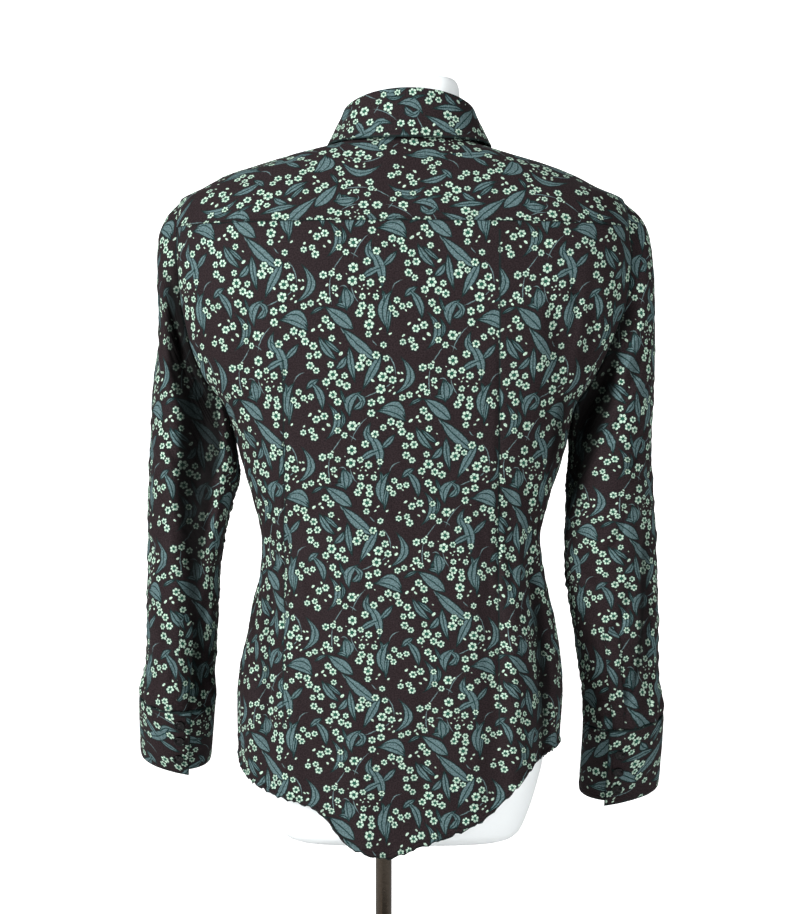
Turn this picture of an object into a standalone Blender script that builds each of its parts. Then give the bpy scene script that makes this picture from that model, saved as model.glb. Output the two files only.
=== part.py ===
"""A printed shirt blouse worn by a limbless dress form on a short stand, at real size in metres.

+Z is up, the front faces -Y and the wearer's left is +X. The origin is on the floor, on the
stand's axis. The shirt is cut from a back, a yoke, two fronts, a button band, a collar stand,
a collar fall, two sleeves, two sleeve plackets and two cuffs, and is closed with buttons.
"""

import math

import bmesh
import bpy
from mathutils import Vector

# Driving dimensions, in metres and degrees.
CLOTH = 0.0012  # wall of a single layer of cloth
STIFF_CLOTH = 0.0018  # wall of the interlined collar, cuffs and band
SEAM_GAP = 0.0004  # between the edges of two panels that a seam joins
LAYER_GAP = 0.0004  # between two layers that lie on each other

ARMHOLE_TOP = 0.9065
ARMHOLE_BOTTOM = 0.6600
ARMHOLE_BACK_ANGLE = 20.0  # how far the armhole cuts into the back, round the body
ARMHOLE_FRONT_ANGLE = 27.0
ARMHOLE_STEPS = 36
YOKE_STEP = 4  # the armhole step at which the yoke's back seam and front seam end
NECK_HEIGHT = 0.9615  # the neck seam at the side of the neck
FRONT_SEAM_AT_NECK = -24.0  # angle of the shoulder seam where it meets the collar
BACK_SEAM_AT_NECK = 38.0  # angle at which the columns of the yoke's back seam meet the collar
YOKE_SEAM_DIP = 0.001  # how far the yoke's back seam hangs below its ends

BAND_WIDTH = 0.030
BAND_LIFT = 0.0008  # between the fronts and the band that lies on them
BAND_EDGE = 0.0105  # the two fronts meet this far to the wearer's right of the centre line
BUTTON_RADIUS = 0.0056
BUTTON_THICK = 0.0024
BUTTON_SIDES = 10
BUTTON_PROFILE = (  # radius and height as shares of the button's own
    (0.0, 0.0),
    (0.86, 0.0),
    (1.0, 0.45),
    (0.88, 1.0),
    (0.64, 0.80),
    (0.0, 0.70),
)
BAND_BUTTONS = 7
BAND_BUTTON_TOP = 0.850
BAND_BUTTON_PITCH = 0.083
CUFF_BUTTONS = {"left": (1.034, 1.084, 1.148), "right": (1.060, 1.107, 1.156)}
CUFF_OVERLAP_FROM = 75.0  # the cuff's under end, as an angle round the cuff from its outer side
CUFF_OVERLAP_TO = 114.0  # the cuff's over end
CUFF_BUTTON_ANGLE = 97.0
CUFF_START = 1.0035  # the cuff's upper edge, just clear of the sleeve's last ring
CUFF_END = 1.2
CUFF_CORNER_ANGLE = 60.0  # how far back from the over end its lower edge starts to drop
PLACKET_FROM = 0.76  # how far down the sleeve its slit starts
PLACKET_COLUMNS = 2
CUFF_CORNER_DROP = 0.005  # how far the over end's lower corner hangs down

STAND_OFFSET = 0.0203  # the pole stands this far to the wearer's left of the shirt's middle
FORM_BOTTOM = 0.2380
POLE_RADIUS = 0.0085
BASE_RADIUS = 0.150
BASE_EDGE = 0.006
BASE_THICK = 0.014
BOSS_RADIUS = 0.019
BOSS_HEIGHT = 0.034
BASE_PROFILE = (  # radius and height of the base, from the middle of its foot up to its boss
    (0, 0),
    (BASE_RADIUS - 0.002, 0),
    (BASE_RADIUS, 0.002),
    (BASE_RADIUS, BASE_EDGE),
    (BASE_RADIUS - 0.003, BASE_EDGE + 0.002),
    (BOSS_RADIUS + 0.012, BASE_THICK),
    (BOSS_RADIUS + 0.002, BASE_THICK + 0.004),
    (BOSS_RADIUS, BASE_THICK + 0.010),
    (BOSS_RADIUS, BASE_THICK + BOSS_HEIGHT - 0.003),
    (BOSS_RADIUS - 0.003, BASE_THICK + BOSS_HEIGHT),
)
POLE_SIDES = 20
BASE_SIDES = 30

ANGLE_STEP = 0.5  # degrees, between the points that a normal is worked out from
LINE_STEP = 0.001
SHARP_ANGLE = 40.0  # faces that meet at less than this are shaded as one smooth surface
SAME_POINT = 1e-6  # points of a turned solid this close together are one

BACK_COLUMNS = 26
FRONT_COLUMNS = 9
BODY_ROWS = 9  # rows from the armhole's bottom to the hem
YOKE_ROWS = 5
YOKE_BACK_COLUMNS = 18
SLEEVE_ROWS = 17
SLEEVE_START = 0.001  # the first ring, just clear of the armhole's seam
SLEEVE_END = 0.997  # and the last, just clear of the cuff's seam
SLEEVE_CROWDING = 1.8  # how much closer together the rings are at the sleeve's head
SLEEVE_EVEN_SHARE = 0.45
CUFF_ROWS = 3
BAND_COLUMNS = 4
COLLAR_COLUMNS = 28


class Profile:
    """A table whose columns are read between its rows, smoothly and without overshoot."""

    def __init__(self, columns, *rows):
        names = columns.split()
        self.names = names
        self.keys = [row[0] for row in rows]
        self.columns = {name: [row[i] for row in rows] for i, name in enumerate(names)}
        self.slopes = {name: self._slopes(values) for name, values in self.columns.items()}

    def _slopes(self, values):
        keys = self.keys
        rates = [
            (values[i + 1] - values[i]) / (keys[i + 1] - keys[i]) for i in range(len(keys) - 1)
        ]
        inner = [
            2 * a * b / (a + b) if a * b > 0 else 0.0 for a, b in zip(rates, rates[1:])
        ]
        return [rates[0], *inner, rates[-1]]

    def at(self, key, name):
        keys = self.keys
        key = min(max(key, keys[0]), keys[-1])
        i = max(j for j in range(len(keys) - 1) if keys[j] <= key)
        span = keys[i + 1] - keys[i]
        t = (key - keys[i]) / span
        a, b = self.columns[name][i : i + 2]
        slope_a, slope_b = self.slopes[name][i : i + 2]
        return (
            a * (1 + 2 * t) * (1 - t) ** 2
            + b * t * t * (3 - 2 * t)
            + span * slope_a * t * (1 - t) ** 2
            + span * slope_b * t * t * (t - 1)
        )


# The shirt's body, as sections at a height: its half width, its depth behind and before the
# stand's axis, how far the section rises at the back and drops at the front, and its sideways shift.
BODY = Profile(
    "height half_width back front rise drop shift",
    (0.215, 0.1620, 0.104, 0.098, 0, 0, 0.0040),
    (0.280, 0.1650, 0.110, 0.104, 0, 0, 0.0040),
    (0.335, 0.1675, 0.116, 0.110, 0, 0, 0.0042),
    (0.383, 0.1705, 0.118, 0.113, 0, 0, 0.0034),
    (0.425, 0.1675, 0.115, 0.115, 0, 0, 0.0016),
    (0.467, 0.1600, 0.107, 0.113, 0, 0, 0.0005),
    (0.494, 0.1540, 0.102, 0.111, 0, 0, 0.0007),
    (0.530, 0.1470, 0.096, 0.109, 0, 0, 0.0010),
    (0.551, 0.1458, 0.094, 0.109, 0, 0, 0.0020),
    (0.572, 0.1486, 0.095, 0.112, 0, 0, 0.0026),
    (0.593, 0.1544, 0.098, 0.116, 0, 0, 0.0026),
    (0.6143, 0.1612, 0.102, 0.120, 0, 0, 0.0016),
    (0.647, 0.1710, 0.108, 0.126, 0, 0, 0.0010),
    (0.688, 0.1840, 0.114, 0.130, 0, 0, 0.0030),
    (0.721, 0.2090, 0.118, 0.131, 0, 0, 0.0040),
    (0.751, 0.2250, 0.121, 0.130, 0, 0, 0.0030),
    (0.777, 0.2345, 0.122, 0.127, 0, 0, 0.0010),
    (0.803, 0.2415, 0.122, 0.122, 0, 0, -0.0010),
    (0.845, 0.2435, 0.117, 0.110, 0, 0, -0.0010),
    (0.8778, 0.2390, 0.108, 0.099, 0.003, 0.006, 0),
    (ARMHOLE_TOP, 0.2320, 0.095, 0.090, 0.006, 0.017, 0.0010),
    (0.9190, 0.2080, 0.089, 0.086, 0.008, 0.026, 0.0020),
    (0.9300, 0.1880, 0.084, 0.084, 0.009, 0.034, 0.0030),
    (0.9400, 0.1600, 0.079, 0.082, 0.010, 0.041, 0),
    (0.9500, 0.1240, 0.074, 0.080, 0.011, 0.048, 0),
    (0.9565, 0.0930, 0.071, 0.079, 0.012, 0.053, -0.0040),
    (NECK_HEIGHT, 0.0730, 0.069, 0.078, 0.013, 0.055, -0.0065),
)
BODY_SQUARENESS = 0.16  # 0 is an ellipse, more fills the section's corners

# The hem all round: angle 0 is the wearer's left side, 90 the middle of the back, 270 the front.
HEM = Profile(
    "angle height",
    (0, 0.3310),
    (10, 0.3180),
    (30, 0.3020),
    (46, 0.2914),
    (57, 0.2847),
    (62, 0.2800),
    (67.5, 0.2657),
    (73, 0.2445),
    (80, 0.2338),
    (86, 0.2300),
    (96, 0.2410),
    (106, 0.2521),
    (117, 0.2671),
    (126, 0.2875),
    (136, 0.3094),
    (142.5, 0.3242),
    (160, 0.3360),
    (180, 0.3400),
    (205, 0.3200),
    (235, 0.2650),
    (270, 0.2480),
    (305, 0.2600),
    (335, 0.3120),
    (360, 0.3310),
)

# Soft folds of the body, behind and before. A fold is a row of stations down its line: x,
# height, half width and depth. A negative depth is a ridge. Folds fade out towards the sides.
BODY_FOLDS = {
    "back": (
        ((0.170, 0.790, 0.030, 0), (0.160, 0.735, 0.030, 0.005), (0.148, 0.660, 0.026, 0)),
        (
            (-0.160, 0.800, 0.024, 0),
            (-0.160, 0.750, 0.026, 0.007),
            (-0.152, 0.680, 0.026, 0.003),
            (-0.140, 0.620, 0.020, 0),
        ),
        (
            (-0.125, 0.560, 0.012, 0),
            (-0.138, 0.480, 0.016, 0.012),
            (-0.144, 0.400, 0.016, 0.014),
            (-0.146, 0.300, 0.016, 0.008),
        ),
        (
            (-0.105, 0.540, 0.018, 0),
            (-0.112, 0.460, 0.020, -0.005),
            (-0.116, 0.380, 0.020, -0.006),
            (-0.118, 0.280, 0.020, -0.004),
        ),
        (
            (-0.085, 0.580, 0.018, 0),
            (-0.090, 0.500, 0.020, 0.004),
            (-0.092, 0.400, 0.020, 0.005),
            (-0.092, 0.290, 0.020, 0.003),
        ),
        (
            (0.132, 0.550, 0.014, 0),
            (0.140, 0.470, 0.016, 0.007),
            (0.142, 0.390, 0.016, 0.007),
            (0.140, 0.300, 0.016, 0.004),
        ),
        (
            (0.104, 0.570, 0.018, 0),
            (0.110, 0.490, 0.020, -0.003),
            (0.114, 0.390, 0.020, -0.004),
            (0.112, 0.300, 0.020, -0.002),
        ),
        ((0.060, 0.430, 0.028, 0), (0.050, 0.330, 0.028, -0.004), (0.036, 0.240, 0.024, -0.006)),
    ),
    "front": (
        ((0.120, 0.570, 0.018, 0), (0.126, 0.470, 0.022, 0.006), (0.124, 0.330, 0.022, 0.005)),
        ((-0.120, 0.570, 0.018, 0), (-0.126, 0.470, 0.022, 0.006), (-0.122, 0.330, 0.022, 0.005)),
        ((0.085, 0.600, 0.020, 0), (0.092, 0.460, 0.024, -0.004), (0.092, 0.330, 0.022, -0.003)),
        ((-0.085, 0.600, 0.020, 0), (-0.090, 0.460, 0.024, -0.004), (-0.094, 0.330, 0.022, -0.003)),
    ),
}
FOLD_PIECES = 4  # between two stations of a fold
FOLD_FADE = 0.55  # folds have their full depth where the surface faces this far back or front

# A sleeve, from the armhole (0) to the cuff's seam (1): its outer and inner line as seen from
# behind, then the middle, depths and tilt of its section. The cuff goes on to its lower edge (1.2).
SLEEVES = {
    "left": Profile(
        "along outer_x outer_z inner_x inner_z middle back front tilt",
        (0.00, 0.2330, 0.9065, 0.1735, 0.6590, 0.000, 0.060, 0.062, 0),
        (0.06, 0.2480, 0.8900, 0.1732, 0.6510, 0.000, 0.062, 0.064, 0),
        (0.12, 0.2565, 0.8680, 0.1722, 0.6430, 0.000, 0.063, 0.066, 0),
        (0.20, 0.2578, 0.8300, 0.1710, 0.6320, 0.000, 0.064, 0.067, 0),
        (0.30, 0.2565, 0.7790, 0.1702, 0.6190, -0.001, 0.064, 0.067, 0),
        (0.42, 0.2625, 0.7120, 0.1772, 0.5960, -0.003, 0.063, 0.066, 0),
        (0.54, 0.2665, 0.6400, 0.1865, 0.5570, -0.006, 0.061, 0.064, 2),
        (0.66, 0.2690, 0.5650, 0.1925, 0.5200, -0.013, 0.058, 0.060, 5),
        (0.78, 0.2710, 0.4950, 0.1950, 0.4750, -0.024, 0.054, 0.056, 9),
        (0.90, 0.2725, 0.4350, 0.1985, 0.4250, -0.038, 0.049, 0.051, 13),
        (1.00, 0.2772, 0.3860, 0.2025, 0.3800, -0.050, 0.045, 0.046, 15),
        (1.20, 0.2780, 0.3230, 0.2090, 0.3160, -0.078, 0.036, 0.037, 20),
    ),
    "right": Profile(
        "along outer_x outer_z inner_x inner_z middle back front tilt",
        (0.00, 0.2330, 0.9065, 0.1745, 0.6590, 0.000, 0.060, 0.062, 0),
        (0.06, 0.2530, 0.8870, 0.1745, 0.6520, 0.000, 0.062, 0.064, 0),
        (0.12, 0.2605, 0.8660, 0.1745, 0.6450, 0.000, 0.063, 0.066, 0),
        (0.20, 0.2640, 0.8280, 0.1738, 0.6360, 0.000, 0.064, 0.067, 0),
        (0.30, 0.2650, 0.7760, 0.1722, 0.6220, -0.001, 0.064, 0.067, 0),
        (0.42, 0.2635, 0.7100, 0.1712, 0.5990, -0.003, 0.063, 0.066, 0),
        (0.54, 0.2610, 0.6400, 0.1700, 0.5600, -0.005, 0.061, 0.064, 2),
        (0.66, 0.2665, 0.5620, 0.1708, 0.5160, -0.010, 0.058, 0.060, 5),
        (0.78, 0.2695, 0.4800, 0.1790, 0.4640, -0.020, 0.054, 0.056, 9),
        (0.90, 0.2715, 0.4170, 0.1875, 0.4070, -0.034, 0.049, 0.051, 13),
        (1.00, 0.2735, 0.3680, 0.1945, 0.3600, -0.046, 0.045, 0.046, 15),
        (1.20, 0.2705, 0.2900, 0.1915, 0.2830, -0.072, 0.036, 0.037, 19),
    ),
}
SLEEVE_JOIN = 0.55  # how far along the sleeve its section still feels the armhole's shape

# Soft folds of the sleeves, in the same columns; x is counted outwards from the body's middle.
SLEEVE_FOLDS = {
    "left": {
        "back": (
            (
                (0.2490, 0.8540, 0.010, 0),
                (0.2407, 0.8138, 0.017, 0.012),
                (0.2334, 0.7718, 0.023, 0.022),
                (0.2230, 0.7246, 0.029, 0.030),
                (0.2100, 0.6773, 0.031, 0.033),
                (0.2100, 0.6458, 0.034, 0.032),
                (0.2165, 0.6038, 0.030, 0.026),
                (0.2178, 0.5513, 0.025, 0.018),
                (0.2178, 0.4883, 0.021, 0.012),
                (0.2160, 0.4358, 0.020, 0.013),
                (0.2170, 0.3800, 0.018, 0.008),
            ),
        ),
        "front": (
            (
                (0.232, 0.800, 0.018, 0),
                (0.222, 0.710, 0.028, 0.014),
                (0.224, 0.560, 0.022, 0.009),
                (0.234, 0.400, 0.018, 0.004),
            ),
        ),
    },
    "right": {
        "back": (
            (
                (0.2480, 0.8150, 0.010, 0),
                (0.2313, 0.7844, 0.016, 0.013),
                (0.2137, 0.7560, 0.021, 0.022),
                (0.2064, 0.7277, 0.025, 0.027),
                (0.2002, 0.7036, 0.028, 0.030),
                (0.1930, 0.6773, 0.026, 0.028),
                (0.1870, 0.6511, 0.025, 0.022),
                (0.1780, 0.6196, 0.026, 0.018),
                (0.1750, 0.5828, 0.022, 0.009),
                (0.1780, 0.5300, 0.018, 0),
            ),
            ((0.2530, 0.7750, 0.010, 0), (0.2400, 0.7298, 0.012, 0.007), (0.2250, 0.6900, 0.010, 0)),
            (
                (0.2505, 0.6000, 0.010, 0),
                (0.2535, 0.5300, 0.013, 0.010),
                (0.2545, 0.4460, 0.013, 0.010),
                (0.2530, 0.3650, 0.012, 0.004),
            ),
        ),
        "front": (
            (
                (0.232, 0.800, 0.018, 0),
                (0.222, 0.710, 0.028, 0.014),
                (0.220, 0.560, 0.022, 0.009),
                (0.232, 0.390, 0.018, 0.004),
            ),
        ),
    },
}
SLEEVE_HEAD = 0.17  # how far down the sleeve its folds have grown to their full depth

# The collar, as rings round the neck read by how far they are up the stand (0 to 1) and then
# over the roll and down the fall (1 to 3).
COLLAR = Profile(
    "along half_width back front height rise drop",
    (0.0, 0.0722, 0.0682, 0.0772, 0.9617, 0.0130, 0.0549),
    (1.0, 0.0625, 0.0595, 0.0665, 0.9990, 0.0165, 0.0500),
    (1.1, 0.0625, 0.0595, 0.0665, 1.0000, 0.0165, 0.0500),
    (1.3, 0.0637, 0.0607, 0.0677, 1.0033, 0.0165, 0.0500),
    (1.5, 0.0665, 0.0635, 0.0705, 1.0045, 0.0165, 0.0500),
    (1.7, 0.0693, 0.0663, 0.0733, 1.0033, 0.0165, 0.0500),
    (2.0, 0.0735, 0.0700, 0.0800, 0.9940, 0.0155, 0.0530),
    (2.5, 0.0812, 0.0765, 0.0930, 0.9785, 0.0080, 0.0620),
    (3.0, 0.0880, 0.0830, 0.1065, 0.9650, 0.0025, 0.0700),
)
COLLAR_SHIFT = -0.0065
FALL_ROWS = (1.12, 1.24, 1.38, 1.50, 1.62, 1.80, 2.15, 2.60, 3.0)
STAND_ROWS = (0.02, 0.35, 0.68, 0.98)
FALL_END_TOP = 4.0  # the fall's front edge at the roll, as an angle from the middle of the front
FALL_END_POINT = 30.0  # and at the collar's point
POINT_DROP = 0.022  # how far the collar's point hangs below its edge at the side
POINT_REACH = 34.0  # the angle over which the edge runs down to the point
STAND_LAP = 12.0  # angle from the middle of the front at which the stand's ends lap

# The dress form under the shirt, in the same columns as the body.
FORM = Profile(
    "height half_width back front rise drop shift",
    (FORM_BOTTOM, 0.1080, 0.066, 0.062, 0, 0, 0.0030),
    (0.2410, 0.1170, 0.075, 0.071, 0, 0, 0.0030),
    (0.2480, 0.1250, 0.083, 0.079, 0, 0, 0.0030),
    (0.2700, 0.1350, 0.092, 0.088, 0, 0, 0.0030),
    (0.2900, 0.1415, 0.097, 0.092, 0, 0, 0.0030),
    (0.3250, 0.1500, 0.103, 0.098, 0, 0, 0.0030),
    (0.3830, 0.1560, 0.105, 0.100, 0, 0, 0.0025),
    (0.4670, 0.1440, 0.092, 0.098, 0, 0, 0.0010),
    (0.5500, 0.1300, 0.079, 0.094, 0, 0, 0.0015),
    (0.6100, 0.1430, 0.086, 0.103, 0, 0, 0.0015),
    (0.6700, 0.1600, 0.097, 0.114, 0, 0, 0.0020),
    (0.7300, 0.1760, 0.105, 0.117, 0, 0, 0.0025),
    (0.7900, 0.1920, 0.107, 0.111, 0, 0, 0.0010),
    (0.8500, 0.2060, 0.101, 0.096, 0, 0, 0),
    (0.8800, 0.2100, 0.091, 0.082, 0.004, 0.006, 0),
    (0.8950, 0.2050, 0.082, 0.076, 0.006, 0.014, 0.0010),
    (0.9120, 0.1800, 0.073, 0.071, 0.008, 0.024, 0.0010),
    (0.9270, 0.1390, 0.065, 0.067, 0.010, 0.034, 0),
    (0.9420, 0.0900, 0.058, 0.063, 0.012, 0.043, -0.0040),
    (0.9580, 0.0620, 0.054, 0.060, 0.013, 0.047, -0.0065),
    (0.9850, 0.0545, 0.051, 0.056, 0.012, 0.040, -0.0065),
    (1.0230, 0.0525, 0.049, 0.053, 0.006, 0.018, -0.0065),
    (1.0320, 0.0490, 0.046, 0.050, 0.003, 0.008, -0.0065),
    (1.0350, 0.0390, 0.037, 0.040, 0.000, 0.000, -0.0065),
)
FORM_COLUMNS = 28
FORM_LEVELS = (
    FORM_BOTTOM, 0.2410, 0.2480, 0.2580, 0.2700, 0.2900, 0.3250, 0.3830, 0.4670, 0.5080,
    0.5500, 0.6100, 0.6700, 0.7300, 0.7900, 0.8500, 0.8800, 0.8950, 0.9120, 0.9270, 0.9420,
    0.9580, 0.9850, 1.0230, 1.0320, 1.0350,
)


def section(profile, angle, key, height, shift):
    """A point of a body or collar section: angle 0 is the wearer's left, 90 is behind."""
    c, s = math.cos(math.radians(angle)), math.sin(math.radians(angle))
    behind = s >= 0
    depth = profile.at(key, "back" if behind else "front")
    lift = profile.at(key, "rise") if behind else -profile.at(key, "drop")
    return Vector(
        (
            shift + profile.at(key, "half_width") * c * (1 + BODY_SQUARENESS * s * s),
            depth * s * (1 + BODY_SQUARENESS * c * c),
            height + lift * s * s,
        )
    )


def bump(distance, half_width):
    """1 on a fold's line, falling smoothly to 0 at its half width."""
    if distance >= half_width:
        return 0.0
    return 0.5 + 0.5 * math.cos(math.pi * distance / half_width)


def smooth_folds(folds):
    """Folds as runs of short pieces, each with the box it reaches."""
    made = []
    for fold in folds:
        line = Profile("index x z half_width depth", *((i, *row) for i, row in enumerate(fold)))
        pieces = []
        for i in range((len(fold) - 1) * FOLD_PIECES + 1):
            x, z, half_width, depth = (line.at(i / FOLD_PIECES, name) for name in line.names[1:])
            pieces.append((Vector((x, z)), half_width, depth))
        reach = max(piece[1] for piece in pieces)
        low = [min(piece[0][k] for piece in pieces) - reach for k in (0, 1)]
        high = [max(piece[0][k] for piece in pieces) + reach for k in (0, 1)]
        made.append((pieces, low, high))
    return made


def fold_depth(x, z, folds):
    """How deep the folds are at a place, as seen from behind or before."""
    here = Vector((x, z))
    depth = 0.0
    for pieces, low, high in folds:
        if not (low[0] < x < high[0] and low[1] < z < high[1]):
            continue
        strongest = 0.0
        for (start, wide_a, most_a), (end, wide_b, most_b) in zip(pieces, pieces[1:]):
            run = end - start
            share = min(max((here - start).dot(run) / run.length_squared, 0.0), 1.0)
            half_width = wide_a + (wide_b - wide_a) * share
            most = most_a + (most_b - most_a) * share
            effect = most * bump((here - start - run * share).length, half_width)
            if abs(effect) > abs(strongest):
                strongest = effect
        depth += strongest
    return depth


def fold_lines(folds):
    return {face: smooth_folds(rows) for face, rows in folds.items()}


def folded(point, sine, folds, share=1.0):
    """A point pushed into the cloth's folds; the sine is how far it faces back (+) or front (-)."""
    depth = fold_depth(point.x, point.z, folds["back" if sine >= 0 else "front"])
    point.y -= math.copysign(depth * share * min(1.0, abs(sine) / FOLD_FADE), sine)
    return point


BODY_FOLD_LINES = fold_lines(BODY_FOLDS)
SLEEVE_FOLD_LINES = {side: fold_lines(folds) for side, folds in SLEEVE_FOLDS.items()}


def body_point(angle, height):
    """The outer face of the shirt's body."""
    point = section(BODY, angle, height, height, BODY.at(height, "shift"))
    return folded(point, math.sin(math.radians(angle)), BODY_FOLD_LINES)


def point_and_normal(surface, a, b):
    """A point of a surface and the unit normal there."""
    across = surface(a + ANGLE_STEP, b) - surface(a - ANGLE_STEP, b)
    up = surface(a, b + LINE_STEP) - surface(a, b - LINE_STEP)
    return surface(a, b), across.cross(up).normalized()


def moved_out(surface, a, b, distance):
    """The point of a surface, moved along its normal."""
    point, normal = point_and_normal(surface, a, b)
    return point + normal * distance


def armhole(step, side):
    """The armhole's line as an angle and a height: step 0 is the shoulder, a quarter is behind."""
    turn = 2 * math.pi * step / ARMHOLE_STEPS
    reach = ARMHOLE_BACK_ANGLE if math.sin(turn) >= 0 else ARMHOLE_FRONT_ANGLE
    angle = reach * math.sin(turn)
    middle = (ARMHOLE_TOP + ARMHOLE_BOTTOM) / 2
    height = middle + (ARMHOLE_TOP - middle) * math.cos(turn)
    return (angle if side == "left" else 180 - angle), height


def material(name, colour, roughness, metallic=0.0):
    found = bpy.data.materials.get(name)
    if found:
        return found
    made = bpy.data.materials.new(name)
    made.use_nodes = True
    shader = made.node_tree.nodes["Principled BSDF"]
    shader.inputs["Base Color"].default_value = (*colour, 1)
    shader.inputs["Roughness"].default_value = roughness
    shader.inputs["Metallic"].default_value = metallic
    return made


def cloth():
    return material("printed_cloth", (0.030, 0.034, 0.034), 0.75)


def finish(mesh, name, finish_material, offset=STAND_OFFSET):
    """Turns a bmesh into a named object of the scene, measured from the stand's axis."""
    bmesh.ops.translate(mesh, verts=mesh.verts, vec=(-offset, 0, 0))
    bmesh.ops.recalc_face_normals(mesh, faces=mesh.faces)
    data = bpy.data.meshes.new(name)
    mesh.to_mesh(data)
    mesh.free()
    data.shade_smooth()
    data.set_sharp_from_angle(angle=math.radians(SHARP_ANGLE))
    data.materials.append(finish_material)
    obj = bpy.data.objects.new(name, data)
    bpy.context.scene.collection.objects.link(obj)
    return obj


def wall(name, outer, inner, finish_material, closed=False):
    """A wall of cloth between two grids of points, closed along its edges. A grid is a list of
    rows; in a closed one, the last column joins the first."""
    mesh = bmesh.new()
    faces = [[[mesh.verts.new(point) for point in row] for row in grid] for grid in (outer, inner)]
    rows, columns = len(outer), len(outer[0])
    spans = columns if closed else columns - 1
    for layer in faces:
        for r in range(rows - 1):
            for c in range(spans):
                d = (c + 1) % columns
                mesh.faces.new((layer[r][c], layer[r][d], layer[r + 1][d], layer[r + 1][c]))
    out, back = faces
    for r in (0, rows - 1):
        for c in range(spans):
            d = (c + 1) % columns
            mesh.faces.new((out[r][c], out[r][d], back[r][d], back[r][c]))
    if not closed:
        for c in (0, columns - 1):
            for r in range(rows - 1):
                mesh.faces.new((out[r][c], out[r + 1][c], back[r + 1][c], back[r][c]))
    finish(mesh, name, finish_material)


def layers(places, surface, *distances):
    """Grids of the places of a surface, one for each distance out from it."""
    known = [[point_and_normal(surface, a, b) for a, b in row] for row in places]
    return [[[point + normal * out for point, normal in row] for row in known] for out in distances]


def panel(name, places):
    """A panel of the shirt's body, from a grid of places on it."""
    wall(name, *layers(places, body_point, 0.0, -CLOTH), cloth())


def spread(start, end, count):
    return [start + (end - start) * i / count for i in range(count + 1)]


def gap_angle(height):
    """Half a seam's gap as an angle round the body."""
    return math.degrees(SEAM_GAP / 2 / BODY.at(height, "half_width"))


def back_places():
    """Rows of the back, from the yoke's seam to the hem."""
    rows = []
    for step in range(YOKE_STEP, ARMHOLE_STEPS // 2 + 1):
        edge, height = armhole(step, "left")
        edge += gap_angle(height)
        row = []
        for angle in spread(edge, 180 - edge, BACK_COLUMNS):
            fade = 1 - (step - YOKE_STEP) / (ARMHOLE_STEPS // 2 - YOKE_STEP)
            dip = YOKE_SEAM_DIP * math.sin(math.radians(angle)) ** 2 * fade
            row.append((angle, height - dip - (SEAM_GAP / 2 if step == YOKE_STEP else 0)))
        rows.append(row)
    for k in range(1, BODY_ROWS + 1):
        edge = gap_angle(ARMHOLE_BOTTOM)
        rows.append(
            [
                (angle, ARMHOLE_BOTTOM + (HEM.at(angle, "height") - ARMHOLE_BOTTOM) * k / BODY_ROWS)
                for angle in spread(edge, 180 - edge, BACK_COLUMNS)
            ]
        )
    return rows


def front_angle(across, height):
    """The angle of a place this far to the wearer's left of the middle of the front."""
    return 270 + math.degrees(across / BODY.at(height, "half_width") / (1 + BODY_SQUARENESS))


def front_edge(height):
    """The angle at which the two fronts meet under the button band."""
    return front_angle(-BAND_EDGE, height)


def shoulder_seam(height):
    """The angle of the seam between the yoke and a front, on the wearer's left."""
    angle, start = armhole(-YOKE_STEP, "left")
    share = (height - start) / (NECK_HEIGHT - start)
    return angle + (FRONT_SEAM_AT_NECK - angle) * share


def front_places(side):
    """Rows of one front, from the neck to the hem, and from the middle to the side."""
    neck_rows = spread(NECK_HEIGHT, armhole(-YOKE_STEP, "left")[1], YOKE_ROWS)
    heights = [(h, shoulder_seam(h)) for h in neck_rows]
    heights[0] = (NECK_HEIGHT - SEAM_GAP, shoulder_seam(NECK_HEIGHT))
    for step in range(YOKE_STEP + 1, ARMHOLE_STEPS // 2 + 1):
        angle, height = armhole(-step, "left")
        heights.append((height, angle))
    rows = []
    for height, edge in heights:
        edge = edge - gap_angle(height)
        far = 360 + edge if side == "left" else 180 - edge
        middle = front_edge(height) + gap_angle(height) * (1 if side == "left" else -1)
        rows.append([(angle, height) for angle in spread(middle, far, FRONT_COLUMNS)])
    for k in range(1, BODY_ROWS + 1):
        row = []
        for share in spread(0.0, 1.0, FRONT_COLUMNS):
            gap = gap_angle(ARMHOLE_BOTTOM)
            far = 360 - gap if side == "left" else 180 + gap
            height = ARMHOLE_BOTTOM
            for _ in range(2):  # the middle edge depends a little on the height it ends at
                middle = front_edge(height) + gap * (1 if side == "left" else -1)
                angle = middle + (far - middle) * share
                height = ARMHOLE_BOTTOM + (HEM.at(angle, "height") - ARMHOLE_BOTTOM) * k / BODY_ROWS
            row.append((angle, height))
        rows.append(row)
    return rows


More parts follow.
